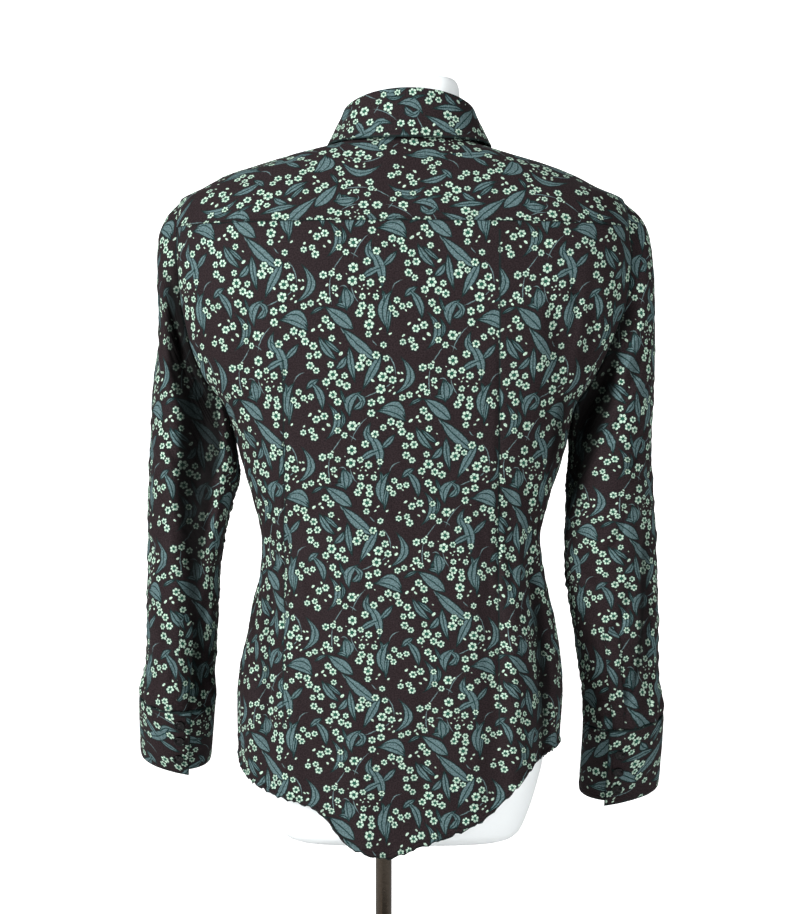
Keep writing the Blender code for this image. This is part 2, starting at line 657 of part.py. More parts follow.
def yoke_places():
    """Columns of the yoke round the neck, each from the outer edge in to the neck's seam."""
    outer, neck = [], []
    steps = list(range(-YOKE_STEP, YOKE_STEP + 1))
    for step in steps:
        angle, height = armhole(step, "left")
        share = (step + YOKE_STEP) / (2 * YOKE_STEP)
        outer.append((angle, height))
        neck.append(FRONT_SEAM_AT_NECK + (BACK_SEAM_AT_NECK - FRONT_SEAM_AT_NECK) * share)
    edge, height = outer[-1]
    for angle in spread(edge, 180 - edge, YOKE_BACK_COLUMNS)[1:-1]:
        outer.append((angle, height - YOKE_SEAM_DIP * math.sin(math.radians(angle)) ** 2))
        across = (angle - edge) / (180 - 2 * edge)
        neck.append(BACK_SEAM_AT_NECK + (180 - 2 * BACK_SEAM_AT_NECK) * across)
    for angle, height in reversed(outer[: len(steps)]):
        outer.append((180 - angle, height))
    neck += [180 - angle for angle in reversed(neck[: len(steps)])]
    places = []
    for (angle, height), neck_angle in zip(outer, neck):
        column = []
        for share in spread(0.0, 1.0, YOKE_ROWS):
            column.append(
                (
                    angle + (neck_angle - angle) * share,
                    height + (NECK_HEIGHT - height) * share,
                )
            )
        places.append(column)
    last = len(places) - 1
    for i, column in enumerate(places):
        # Half a seam's gap is taken off the outer edge, the neck's edge and the two front ends.
        angle, height = column[0]
        inward = 1 if angle <= 90 else -1
        if i < len(steps) - 1 or i > last - len(steps) + 1:
            lean = armhole_lean(i if i < len(steps) else last - i)
            column[0] = (angle + inward * lean[0], height + lean[1])
        else:
            column[0] = (angle, height + SEAM_GAP / 2)
        column[-1] = (column[-1][0], column[-1][1] - SEAM_GAP)
        if i in (0, last):
            for j, (angle, height) in enumerate(column):
                column[j] = (angle + (1 if i == 0 else -1) * gap_angle(height), height)
    return places


def armhole_lean(index):
    """How the yoke's outer edge steps back from the armhole's line: (angle, height)."""
    step = index - YOKE_STEP
    turn = 2 * math.pi * step / ARMHOLE_STEPS
    return (
        math.degrees(SEAM_GAP / 2 / BODY.at(ARMHOLE_TOP, "half_width")) * math.sin(turn),
        SEAM_GAP / 4 * math.cos(turn),
    )


def sleeve_surface(side):
    """A function of (angle round, length along) that gives the sleeve's outer face."""
    rows = SLEEVES[side]
    folds = SLEEVE_FOLD_LINES[side]
    mirror = 1 if side == "left" else -1

    def ring(angle, along):
        turn = math.radians(angle)
        c, s = math.cos(turn), math.sin(turn)
        outer = Vector((rows.at(along, "outer_x"), 0, rows.at(along, "outer_z")))
        inner = Vector((rows.at(along, "inner_x"), 0, rows.at(along, "inner_z")))
        depth = rows.at(along, "back" if s >= 0 else "front")
        tilt = math.radians(rows.at(along, "tilt"))
        point = (outer + inner) / 2 + (outer - inner) / 2 * c
        point.y += rows.at(along, "middle")
        point += Vector((0, math.cos(tilt), -math.sin(tilt))) * depth * s
        return point

    def at(angle, along):
        point = ring(angle, along)
        if along < SLEEVE_JOIN:
            seam = moved_out(body_point, *armhole(angle / 360 * ARMHOLE_STEPS, side), SEAM_GAP)
            seam.x *= mirror
            point += (seam - ring(angle, 0)) * (1 - along / SLEEVE_JOIN) ** 2
        grown = bump(SLEEVE_HEAD - min(max(along, 0), SLEEVE_HEAD), SLEEVE_HEAD)
        point = folded(point, math.sin(math.radians(angle)), folds, grown)
        point.x *= mirror
        return point

    return at


def sleeve_rows():
    """Places of a sleeve's rings: close together at the head, wider apart below."""
    return [
        SLEEVE_START
        + (SLEEVE_END - SLEEVE_START)
        * (SLEEVE_EVEN_SHARE * share + (1 - SLEEVE_EVEN_SHARE) * share**SLEEVE_CROWDING)
        for share in spread(0.0, 1.0, SLEEVE_ROWS)
    ]


def sleeve_places():
    angles = [360 * step / ARMHOLE_STEPS for step in range(ARMHOLE_STEPS)]
    return [[(angle, along) for angle in angles] for along in sleeve_rows()]


def facing(side):
    """1 where a sleeve surface's normal points out of the sleeve, -1 where it points in."""
    return -1 if side == "left" else 1


def make_sleeve(side):
    surface = sleeve_surface(side)
    turn = facing(side)
    grids = layers(sleeve_places(), surface, 0.0, -CLOTH * turn)
    wall(f"sleeve_{side}", *grids, cloth(), closed=True)


def make_sleeve_placket(side):
    """The strip over the sleeve's slit, on the sleeve's own columns and last rings."""
    surface = sleeve_surface(side)
    turn = facing(side)
    first = round(CUFF_BUTTON_ANGLE / 360 * ARMHOLE_STEPS)
    angles = [360 * step / ARMHOLE_STEPS for step in range(first, first + PLACKET_COLUMNS + 1)]
    rows = [along for along in sleeve_rows() if along > PLACKET_FROM]
    grids = [
        [[moved_out(surface, a, along, out * turn) for a in angles] for along in rows]
        for out in (LAYER_GAP + CLOTH, LAYER_GAP)
    ]
    wall(f"sleeve_placket_{side}", *grids, cloth())


def cuff_point(side, angle, along, out):
    """A point of the cuff, which winds once round the wrist and laps over its own start."""
    surface = sleeve_surface(side)
    wound = (angle - CUFF_OVERLAP_FROM) / 360
    lift = out + (STIFF_CLOTH + LAYER_GAP) * wound
    point = moved_out(surface, angle, along, lift * facing(side))
    past = max(0.0, angle - 360 - CUFF_OVERLAP_TO + CUFF_CORNER_ANGLE) / CUFF_CORNER_ANGLE
    point.z -= CUFF_CORNER_DROP * past**2 * (along - 1) / (CUFF_END - 1)
    return point


def make_cuff(side):
    angles = spread(CUFF_OVERLAP_FROM, 360 + CUFF_OVERLAP_TO, ARMHOLE_STEPS + 4)
    rows = spread(CUFF_START, CUFF_END, CUFF_ROWS)
    grids = [
        [[cuff_point(side, a, along, out) for a in angles] for along in rows]
        for out in (STIFF_CLOTH, 0.0)
    ]
    wall(f"cuff_{side}", *grids, cloth())


def collar_point(angle, along):
    angle %= 360
    point = section(COLLAR, angle, along, COLLAR.at(along, "height"), COLLAR_SHIFT)
    if along > 2:
        from_front = abs(angle - 270)
        point.z -= POINT_DROP * (along - 2) * bump(max(0.0, from_front - FALL_END_POINT), POINT_REACH)
    return point


def make_collar():
    """The stand, which laps at the front, and the fall, which turns over it down to its points."""
    laps = spread(-90 - STAND_LAP, 270 + STAND_LAP, COLLAR_COLUMNS)

    def stand(angle, along, out):
        wound = (angle + 90 + STAND_LAP) / 360
        return moved_out(collar_point, angle, along, out + (STIFF_CLOTH + LAYER_GAP) * (1 - wound))

    grids = [
        [[stand(a, along, out) for a in laps] for along in STAND_ROWS]
        for out in (0.0, -STIFF_CLOTH)
    ]
    wall("collar_stand", *grids, cloth())

    def fall(share, along, out):
        reach = max(0.0, along - 1.5) / 1.5
        end = FALL_END_TOP + (FALL_END_POINT - FALL_END_TOP) * reach
        angle = (-90 + end) + (360 - 2 * end) * share
        return moved_out(collar_point, angle, along, out)

    shares = spread(0.0, 1.0, COLLAR_COLUMNS)
    grids = [
        [[fall(share, along, out) for share in shares] for along in FALL_ROWS]
        for out in (STIFF_CLOTH, 0.0)
    ]
    wall("collar_fall", *grids, cloth())


def band_point(across, height, out):
    """A point of the button band, which lies over the two fronts' edges."""
    return moved_out(body_point, front_angle(across, height), height, out)


def make_band():
    """The band takes the rows of the front that it lies on, so that the two stay apart."""
    heights = [row[0][1] for row in front_places("left")]
    heights[0] -= SEAM_GAP
    acrosses = spread(-BAND_WIDTH / 2, BAND_WIDTH / 2, BAND_COLUMNS)
    grids = [
        [[band_point(x, h, BAND_LIFT + out) for x in acrosses] for h in heights]
        for out in (STIFF_CLOTH, 0.0)
    ]
    wall("button_band", *grids, cloth())


def turned(name, profile, sides, finish_material):
    """A solid turned about an upright axis from a profile of (radius, height)."""
    mesh = bmesh.new()
    points = [mesh.verts.new((radius, 0, height)) for radius, height in profile]
    edges = [mesh.edges.new(pair) for pair in zip(points, points[1:])]
    bmesh.ops.spin(
        mesh,
        geom=[*points, *edges],
        cent=(0, 0, 0),
        axis=(0, 0, 1),
        angle=2 * math.pi,
        steps=sides,
        use_merge=True,
    )
    bmesh.ops.remove_doubles(mesh, verts=mesh.verts, dist=SAME_POINT)
    return finish(mesh, name, finish_material, offset=0)


def make_button(name, centre, normal):
    """A dished round button, turned about its own axis and laid on the cloth."""
    profile = [(radius * BUTTON_RADIUS, height * BUTTON_THICK) for radius, height in BUTTON_PROFILE]
    black = material("button", (0.012, 0.012, 0.012), 0.25)
    obj = turned(name, profile, BUTTON_SIDES, black)
    obj.location = centre + normal * LAYER_GAP - Vector((STAND_OFFSET, 0, 0))
    obj.rotation_euler = normal.to_track_quat("Z", "Y").to_euler()


def make_buttons():
    for i in range(BAND_BUTTONS):
        height = BAND_BUTTON_TOP - BAND_BUTTON_PITCH * i
        lift = BAND_LIFT + STIFF_CLOTH
        centre = band_point(0, height, lift)
        normal = (band_point(0, height, lift + 0.01) - centre).normalized()
        make_button(f"band_button_{i + 1}", centre, normal)
    lap = STIFF_CLOTH + LAYER_GAP
    middle = moved_out(collar_point, 270, 0.5, lap)
    normal = (moved_out(collar_point, 270, 0.5, lap + 0.01) - middle).normalized()
    make_button("collar_button", middle, normal)
    for side in SLEEVES:
        for i, along in enumerate(CUFF_BUTTONS[side]):
            place = (360 + CUFF_BUTTON_ANGLE, along)
            centre = cuff_point(side, *place, STIFF_CLOTH)
            normal = (cuff_point(side, *place, STIFF_CLOTH + 0.01) - centre).normalized()
            make_button(f"cuff_button_{side}_{i + 1}", centre, normal)


def make_form():
    """The smooth limbless torso that wears the shirt, closed at its foot and its neck."""
    mesh = bmesh.new()
    rings = []
    for height in FORM_LEVELS:
        shift = FORM.at(height, "shift")
        angles = [360 * i / FORM_COLUMNS for i in range(FORM_COLUMNS)]
        rings.append([mesh.verts.new(section(FORM, a, height, height, shift)) for a in angles])
    for low, high in zip(rings, rings[1:]):
        for i in range(FORM_COLUMNS):
            j = (i + 1) % FORM_COLUMNS
            mesh.faces.new((low[i], low[j], high[j], high[i]))
    mesh.faces.new(rings[0])
    mesh.faces.new(rings[-1])
    finish(mesh, "form_torso", material("form", (0.85, 0.86, 0.87), 0.35))


def make_stand():
    steel = material("steel", (0.55, 0.54, 0.52), 0.18, 1.0)
    pole_top = FORM_BOTTOM - SEAM_GAP
    boss_top = BASE_THICK + BOSS_HEIGHT
    pole_foot = boss_top + SEAM_GAP
    pole = ((0, pole_foot), (POLE_RADIUS, pole_foot), (POLE_RADIUS, pole_top), (0, pole_top))
    turned("stand_pole", pole, POLE_SIDES, steel)
    turned("stand_base", (*BASE_PROFILE, (0, boss_top)), BASE_SIDES, steel)


def main():
    for obj in list(bpy.data.objects):
        bpy.data.objects.remove(obj)
    panel("back", back_places())
    panel("front_left", front_places("left"))
    panel("front_right", front_places("right"))
    panel("yoke", yoke_places())
    for side in SLEEVES:
        make_sleeve(side)
        make_sleeve_placket(side)
        make_cuff(side)
    make_collar()
    make_band()
    make_buttons()
    make_form()
    make_stand()


main()
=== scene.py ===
import math

import bmesh
import bpy
import numpy as np
from mathutils import Matrix, Vector


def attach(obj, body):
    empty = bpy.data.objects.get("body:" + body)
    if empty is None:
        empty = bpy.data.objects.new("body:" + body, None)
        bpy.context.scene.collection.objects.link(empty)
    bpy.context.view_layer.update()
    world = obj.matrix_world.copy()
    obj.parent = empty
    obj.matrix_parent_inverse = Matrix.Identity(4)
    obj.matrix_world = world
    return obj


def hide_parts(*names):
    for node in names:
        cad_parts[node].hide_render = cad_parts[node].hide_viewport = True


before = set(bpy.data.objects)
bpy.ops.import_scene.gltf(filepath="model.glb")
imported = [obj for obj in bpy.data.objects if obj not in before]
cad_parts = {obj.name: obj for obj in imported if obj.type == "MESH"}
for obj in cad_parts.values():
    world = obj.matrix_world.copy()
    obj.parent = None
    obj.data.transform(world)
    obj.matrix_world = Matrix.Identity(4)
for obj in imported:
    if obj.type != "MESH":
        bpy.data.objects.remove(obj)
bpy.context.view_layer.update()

bl_info = {
    "name": "Printed Shirt Blouse",
    "version": (1, 0, 0),
    "blender": (4, 5, 0),
    "location": "3D Viewport > Sidebar > Shirt",
    "description": "A printed shirt blouse on a dress form, sewn and finished around its packed solids",
    "category": "Object",
}

# The shirt is measured from its own middle; the stand's pole is this far to the wearer's left.
STAND_OFFSET = 0.0203

ARMHOLE_TOP = 0.9065
ARMHOLE_BOTTOM = 0.6600
ARMHOLE_BACK_ANGLE = 20.0
ARMHOLE_FRONT_ANGLE = 27.0
ARMHOLE_QUARTERS = 9.0  # steps of the armhole in a quarter turn
ARMHOLE_STEPS = 4 * ARMHOLE_QUARTERS
YOKE_STEP = 4.0  # the step at which the yoke's two seams meet the armhole
NECK_HEIGHT = 0.9615
FRONT_SEAM_AT_NECK = -24.0
BACK_SEAM_AT_NECK = 38.0
YOKE_SEAM_DIP = 0.001
BODY_SQUARENESS = 0.16
BAND_EDGE = 0.0105
BAND_LIFT = 0.0008
SLEEVE_JOIN = 0.55
SLEEVE_HEAD = 0.17
FOLD_FADE = 0.55
# The sine below which the shade painted into the folds fades out towards a silhouette.
SHADE_FADE = 0.1
SHOULDER_CLIMB = 1.2  # length of cloth for each metre up, above the centre column of a panel
FOLD_PIECES = 4
STIFF_CLOTH = 0.0018  # height of a stiffened layer over what it lies on
STIFF_WRAP = 0.0022  # how far a cuff or stand lies over its own start
CUFF_OVERLAP_FROM = 75.0
CUFF_OVERLAP_TO = 114.0
CUFF_BUTTON_ANGLE = 97.0
CUFF_START = 1.0
CUFF_END = 1.2
CUFF_CORNER_ANGLE = 60.0
CUFF_CORNER_DROP = 0.005
PLACKET_FROM = 0.78
COLLAR_SHIFT = -0.0065
FALL_END_TOP = 4.0
FALL_END_POINT = 30.0
POINT_DROP = 0.022
POINT_REACH = 34.0
STAND_LAP = 12.0
FORM_BOTTOM = 0.2380

# The stand, as the solids have it.
POLE_RADIUS = 0.0085
BASE_RADIUS = 0.150
BASE_EDGE = 0.006
BASE_THICK = 0.014
BOSS_RADIUS = 0.019
BOSS_HEIGHT = 0.034

BAND_WIDTH = 0.030
BUTTON_THICK = 0.0024
BAND_BUTTONS = 7
BAND_BUTTON_TOP = 0.850
BAND_BUTTON_PITCH = 0.083
CUFF_BUTTONS = {"left": (1.034, 1.084, 1.148), "right": (1.060, 1.107, 1.156)}

# How finely each piece is modelled.
BACK_GRID = (190, 150)
FRONT_GRID = (170, 60)
YOKE_GRID = (34, 170)
SLEEVE_GRID = (230, 150)
CUFF_GRID = (34, 170)
PLACKET_GRID = (40, 10)
FALL_GRID = (60, 170)
STAND_GRID = (16, 130)
BAND_GRID = (200, 12)
FORM_GRID = (120, 96)

HEM_RIPPLE = 0.0008
HEM_WIDTH = 0.0060
HEM_DRAW = 0.0004  # how far the cloth above the hem is drawn in and out
HEM_DRAW_OVER = 0.012
UNDERARM_AT = 0.38  # share of the back's rows that lie above the armhole's bottom
SHOULDER_AT = 0.16  # shares of a front's rows above the armhole, and above its bottom
FRONT_UNDERARM_AT = 0.44
YOKE_SIDE_AT = 0.2  # share of the yoke's columns that lie along each armhole
DART_LEFT = 0.1220  # sideways place of the two long darts of the back
DART_RIGHT = -0.0977
DART_MARKS = (0, 33 / 150, 112 / 150, 1)  # on whole columns of the back's grid
FAR_AWAY = 1.0  # from any seam
SIDES = {"left": 1, "right": -1}  # which way each side lies

# The small wrinkles of washed cloth: their size and pattern, and how deep they are.
BODY_WRINKLES = {"size": 0.034, "seed": 1.0}
BODY_WRINKLE_SQUASH = 0.45
WRINKLE_DEPTH, SIDE_WRINKLE_DEPTH, WAIST_WRINKLE_DEPTH = 0.0006, 0.0017, 0.0009
WAIST_AT = 0.52
WAIST_REACH = 0.22
YOKE_WRINKLES = {"size": 0.05, "seed": 3.0}
YOKE_WRINKLE_SQUASH = 1.4
YOKE_WRINKLE_DEPTH = 0.0004
SLEEVE_WRINKLE_SIZE = 0.030
SLEEVE_WRINKLE_SEEDS = {"left": 2.0, "right": 2.6}
SLEEVE_WRINKLE_SQUASH = 0.55
SLEEVE_WRINKLE_DEPTHS = (0.0003, 0.0016)  # at the head, and what is added further down
SLEEVE_BUSY_FROM = 0.08
SLEEVE_BUSY_OVER = 0.3
CUFF_WRINKLES = {"size": 0.03, "seed": 1.7}
FALL_WRINKLES = {"size": 0.04, "seed": 0.4}
BAND_WRINKLES = {"size": 0.03, "seed": 2.2}
STIFF_WRINKLE_DEPTH = 0.0003
FALL_WRINKLE_DEPTH = 0.0004
FALL_WRINKLES_FROM = 0.03

SLEEVE_START = 0.001
SLEEVE_SEAM_ANGLE = 180.0  # the underarm seam
CALM_EDGE = 0.015  # how far from a seam the wrinkles of a panel fade out
CUFF_FULLNESS = 0.0030  # how far the sleeve puffs out just above its cuff, in small gathers
CUFF_FULL_AT = 0.008
CUFF_FULL_REACH = 0.030
GATHERS = 9
GATHER_DEPTH = 0.45
PLACKET_ANGLE = 19.0
PLACKET_SHIFT = 3.0  # degrees from the cuff's buttons to the middle of the placket
PLACKET_TO = 0.999
PLACKET_POINT_OVER = 0.02
PLACKET_POINT_WIDTH = 0.3
PLACKET_CALM_ANGLE = 15.0
PLACKET_CALM_FROM = 0.7
PLACKET_CALM_OVER = 0.06
PLACKET_LIFT = 0.0018
CUFF_PUFF = 0.0006  # how far a cuff's middle stands out over its stitched edge
CUFF_PUFF_OVER = 0.004
STAND_FROM = 0.02
STAND_TO = 0.98
FALL_FROM = 1.12
FALL_ROLL = 1.5  # the ring at the top of the collar's roll
FALL_TO = 3.0
CHEST_MIDDLE = (0, 0, 0.80)
NECK_MIDDLE = (COLLAR_SHIFT, 0, 0.98)
YOKE_LIFT = 0.0007  # how far the yoke's turned edge lies over the back
YOKE_LIFT_OVER = 0.02
YOKE_LIFT_REST = 0.2
YOKE_SLOPE = (0.98, 0.75, 0.93)  # length of flat cloth across, back and up, for each metre
BAND_TOP_GAP = 0.0008
TOPSTITCH_INSET = 0.0055  # from an edge to its line of stitches
EDGE_STITCH_INSET = 0.0015
LAYER_GAP = 0.0004
RING_SIDES = 64
BUTTON_SIDES = 40
BUTTON_PROFILE = (  # radius and height as shares of the button's own
    (0, 0), (0.86, 0), (0.95, 0.1), (1, 0.32), (1, 0.55), (0.96, 0.85), (0.9, 0.97),
    (0.84, 1), (0.77, 0.97), (0.7, 0.85), (0.63, 0.7), (0.5, 0.64), (0, 0.62),
)
BUTTON_SIGHT = 0.01  # how far out a button's direction is taken
BUTTON_THREAD = (0.62, 0.11, 0.12)  # length, width and height, as shares of radius and thickness
BUTTON_THREAD_AT = 0.66
BUTTON_THREAD_EDGE = 0.03
BUTTON_THREAD_REACH = 0.33
BUTTON_THREAD_FROM = 0.61
POLE_EDGE = 0.0006
FERRULE_HEIGHT = 0.012
BASE_PROFILE = (
    (0, 0), (BASE_RADIUS - 0.002, 0), (BASE_RADIUS - 0.0006, 0.0006), (BASE_RADIUS, 0.002),
    (BASE_RADIUS, BASE_EDGE), (BASE_RADIUS - 0.0008, BASE_EDGE + 0.0014),
    (BASE_RADIUS - 0.003, BASE_EDGE + 0.002), (0.09, 0.0105), (BOSS_RADIUS + 0.012, BASE_THICK),
    (BOSS_RADIUS + 0.005, BASE_THICK + 0.0015), (BOSS_RADIUS + 0.002, BASE_THICK + 0.004),
    (BOSS_RADIUS, BASE_THICK + 0.01), (BOSS_RADIUS, BASE_THICK + BOSS_HEIGHT - 0.003),
    (BOSS_RADIUS - 0.001, BASE_THICK + BOSS_HEIGHT - 0.001),
    (BOSS_RADIUS - 0.003, BASE_THICK + BOSS_HEIGHT), (0, BASE_THICK + BOSS_HEIGHT),
)
FORM_ROW_SHARES = (0, 0.06, 0.12, 0.72, 0.90, 0.97, 1)
FORM_ROW_HEIGHTS = (0.2380, 0.2420, 0.2550, 0.8800, 1.0200, 1.0320, 1.0350)

WEAVE_PITCH = 0.00045
WEAVE_HEIGHT = 0.00006
PUCKER_HEIGHT = 0.0009
WASH_HEIGHT = 0.0011
CLOTH_MAPS = ("Flat cut", "Seam", "Painted fold shade")
CLOTH_ROUGHNESS = (0.16, 0.66)  # how it varies with the wash, and its least
CLOTH_SPECULAR = 0.08
CLOTH_SHEEN = 0.02
CLOTH_SHEEN_ROUGHNESS = 0.45
CLOTH_TONE = 0.40  # least tone of the right side
WRONG_SIDE_TONE = 0.15
WEAVE_CONTRAST = 1.10
WASH_TONE = (0.30, 0.86)
STITCH_SHOWS = 0.75
# How strongly the shade painted beside seams, darts and edges darkens the colour.
PAINTED_SEAM_EDGE_SHADE_SHOWS = 0.8
GRAIN_ROUGHNESS = 0.12
FOLD_DEPTHS = (0.003, 0.015)  # fold depths where the shade painted into the cloth's colour starts, and where it is full
# How much the shade painted into deep folds darkens the cloth's colour.
FOLD_SHADE = 0.90
STITCH_LENGTH = 0.0024
STITCH_WIDTH = 0.0004
# Widths of the shade painted beside seams and darts, and along turned and hemmed edges.
SEAM_SHADE = 0.0016
HEM_SHADE = 0.0022

# The studio.
STAGE_SIZE = 4.0
SWEEP_ROWS = 80
SWEEP_START = 4.4
SWEEP_FLOOR = 9.4
SWEEP_RADIUS = 1.2
SWEEP_LENGTH = 15.0
SURROUND = 0.13
PAPER_WHITE = (0.9, 0.9, 0.9)
PAPER_GLOW = 1.2  # the paper is overexposed, as in a shop photo, for the camera only
CAMERA_AT = (-0.01715, 3.2, 0.6385)
LOOK_AT = (0, 0, 0.60)
SENSOR_HEIGHT = 36.0
LENS = 120.04
LAMPS = (  # name, place, size, power
    ("key_light", (2.4, 2.3, 1.8), (1.0, 1.4), 172),
    ("fill_light", (-2.4, 2.2, 1.1), (1.6, 1.8), 58),
    ("top_light", (0.5, 0.1, 2.6), (1.6, 1.2), 12),
)

ANGLE_STEP = 0.5  # degrees, between the places that a normal is worked out from
LINE_STEP = 0.001
SAME_POINT = 1e-6
SHARP_EDGE = 50  # degrees; flatter edges are shaded smooth


class Table:
    """Rows of numbers under named columns, read between its rows smoothly, without overshoot."""

    def __init__(self, columns, *rows):
        self.names = columns.split()
        values = np.array(rows, float)
        self.keys = values[:, 0]
        self.values = dict(zip(self.names, values.T))

    def at(self, key, name):
        keys, values = self.keys, self.values[name]
        rates = np.diff(values) / np.diff(keys)
        product = rates[:-1] * rates[1:]
        total = rates[:-1] + rates[1:]
        inner = np.where(product > 0, 2 * product / np.where(product > 0, total, 1), 0)
        slopes = np.concatenate((rates[:1], inner, rates[-1:]))
        key = np.clip(key, keys[0], keys[-1])
        i = np.clip(np.searchsorted(keys, key, side="right") - 1, 0, len(keys) - 2)
        span = keys[i + 1] - keys[i]
        t = (key - keys[i]) / span
        return (
            values[i] * (1 + 2 * t) * (1 - t) ** 2
            + values[i + 1] * t * t * (3 - 2 * t)
            + span * slopes[i] * t * (1 - t) ** 2
            + span * slopes[i + 1] * t * t * (t - 1)
        )


# The shirt's body, as sections at a height.
BODY = Table(
    "height half_width back front rise drop shift",
    (0.215, 0.162, 0.104, 0.098, 0, 0, 0.004), (0.28, 0.165, 0.11, 0.104, 0, 0, 0.004),
    (0.335, 0.1675, 0.116, 0.11, 0, 0, 0.0042), (0.383, 0.1705, 0.118, 0.113, 0, 0, 0.0034),
    (0.425, 0.1675, 0.115, 0.115, 0, 0, 0.0016), (0.467, 0.16, 0.107, 0.113, 0, 0, 0.0005),
    (0.494, 0.154, 0.102, 0.111, 0, 0, 0.0007), (0.53, 0.147, 0.096, 0.109, 0, 0, 0.001),
    (0.551, 0.1458, 0.094, 0.109, 0, 0, 0.002), (0.572, 0.1486, 0.095, 0.112, 0, 0, 0.0026),
    (0.593, 0.1544, 0.098, 0.116, 0, 0, 0.0026), (0.6143, 0.1612, 0.102, 0.12, 0, 0, 0.0016),
    (0.647, 0.171, 0.108, 0.126, 0, 0, 0.001), (0.688, 0.184, 0.114, 0.13, 0, 0, 0.003),
    (0.721, 0.209, 0.118, 0.131, 0, 0, 0.004), (0.751, 0.225, 0.121, 0.13, 0, 0, 0.003),
    (0.777, 0.2345, 0.122, 0.127, 0, 0, 0.001), (0.803, 0.2415, 0.122, 0.122, 0, 0, -0.001),
    (0.845, 0.2435, 0.117, 0.11, 0, 0, -0.001), (0.8778, 0.239, 0.108, 0.099, 0.003, 0.006, 0),
    (ARMHOLE_TOP, 0.232, 0.095, 0.09, 0.006, 0.017, 0.001),
    (0.919, 0.208, 0.089, 0.086, 0.008, 0.026, 0.002), (0.93, 0.188, 0.084, 0.084, 0.009, 0.034, 0.003),
    (0.94, 0.16, 0.079, 0.082, 0.01, 0.041, 0), (0.95, 0.124, 0.074, 0.08, 0.011, 0.048, 0),
    (0.9565, 0.093, 0.071, 0.079, 0.012, 0.053, -0.004),
    (NECK_HEIGHT, 0.073, 0.069, 0.078, 0.013, 0.055, -0.0065),
)

# The hem all round: angle 0 is the wearer's left side, 90 the middle of the back, 270 the front.
HEM = Table(
    "angle height",
    (0, 0.331), (10, 0.318), (30, 0.302), (46, 0.2914), (57, 0.2847), (62, 0.28), (67.5, 0.2657),
    (73, 0.2445), (80, 0.2338), (86, 0.23), (96, 0.241), (106, 0.2521), (117, 0.2671), (126, 0.2875),
    (136, 0.3094), (142.5, 0.3242), (160, 0.336), (180, 0.34), (205, 0.32), (235, 0.265),
    (270, 0.248), (305, 0.26), (335, 0.312), (360, 0.331),
)

# A sleeve, from the armhole (0) to the cuff's seam (1) and on to the cuff's lower edge (1.2): its
# outer and inner line as seen from behind, then the middle, depths and tilt of its section.
SLEEVES = {
    "left": Table(
        "along outer_x outer_z inner_x inner_z middle back front tilt",
        (0, 0.233, 0.9065, 0.1735, 0.659, 0, 0.06, 0.062, 0),
        (0.06, 0.248, 0.89, 0.1732, 0.651, 0, 0.062, 0.064, 0),
        (0.12, 0.2565, 0.868, 0.1722, 0.643, 0, 0.063, 0.066, 0),
        (0.2, 0.2578, 0.83, 0.171, 0.632, 0, 0.064, 0.067, 0),
        (0.3, 0.2565, 0.779, 0.1702, 0.619, -0.001, 0.064, 0.067, 0),
        (0.42, 0.2625, 0.712, 0.1772, 0.596, -0.003, 0.063, 0.066, 0),
        (0.54, 0.2665, 0.64, 0.1865, 0.557, -0.006, 0.061, 0.064, 2),
        (0.66, 0.269, 0.565, 0.1925, 0.52, -0.013, 0.058, 0.06, 5),
        (0.78, 0.271, 0.495, 0.195, 0.475, -0.024, 0.054, 0.056, 9),
        (0.9, 0.2725, 0.435, 0.1985, 0.425, -0.038, 0.049, 0.051, 13),
        (1, 0.2772, 0.386, 0.2025, 0.38, -0.05, 0.045, 0.046, 15),
        (1.2, 0.278, 0.323, 0.209, 0.316, -0.078, 0.036, 0.037, 20),
    ),
    "right": Table(
        "along outer_x outer_z inner_x inner_z middle back front tilt",
        (0, 0.233, 0.9065, 0.1745, 0.659, 0, 0.06, 0.062, 0),
        (0.06, 0.253, 0.887, 0.1745, 0.652, 0, 0.062, 0.064, 0),
        (0.12, 0.2605, 0.866, 0.1745, 0.645, 0, 0.063, 0.066, 0),
        (0.2, 0.264, 0.828, 0.1738, 0.636, 0, 0.064, 0.067, 0),
        (0.3, 0.265, 0.776, 0.1722, 0.622, -0.001, 0.064, 0.067, 0),
        (0.42, 0.2635, 0.71, 0.1712, 0.599, -0.003, 0.063, 0.066, 0),
        (0.54, 0.261, 0.64, 0.17, 0.56, -0.005, 0.061, 0.064, 2),
        (0.66, 0.2665, 0.562, 0.1708, 0.516, -0.01, 0.058, 0.06, 5),
        (0.78, 0.2695, 0.48, 0.179, 0.464, -0.02, 0.054, 0.056, 9),
        (0.9, 0.2715, 0.417, 0.1875, 0.407, -0.034, 0.049, 0.051, 13),
        (1, 0.2735, 0.368, 0.1945, 0.36, -0.046, 0.045, 0.046, 15),
        (1.2, 0.2705, 0.29, 0.1915, 0.283, -0.072, 0.036, 0.037, 19),
    ),
}

# The collar, as rings round the neck, up the stand (0 to 1), over the roll and down the fall (3).
COLLAR = Table(
    "along half_width back front height rise drop",
    (0, 0.0722, 0.0682, 0.0772, 0.9617, 0.013, 0.0549),
    (1, 0.0625, 0.0595, 0.0665, 0.999, 0.0165, 0.05), (1.1, 0.0625, 0.0595, 0.0665, 1, 0.0165, 0.05),
    (1.3, 0.0637, 0.0607, 0.0677, 1.0033, 0.0165, 0.05),
    (1.5, 0.0665, 0.0635, 0.0705, 1.0045, 0.0165, 0.05),
    (1.7, 0.0693, 0.0663, 0.0733, 1.0033, 0.0165, 0.05), (2, 0.0735, 0.07, 0.08, 0.994, 0.0155, 0.053),
    (2.5, 0.0812, 0.0765, 0.093, 0.9785, 0.008, 0.062), (3, 0.088, 0.083, 0.1065, 0.965, 0.0025, 0.07),
)

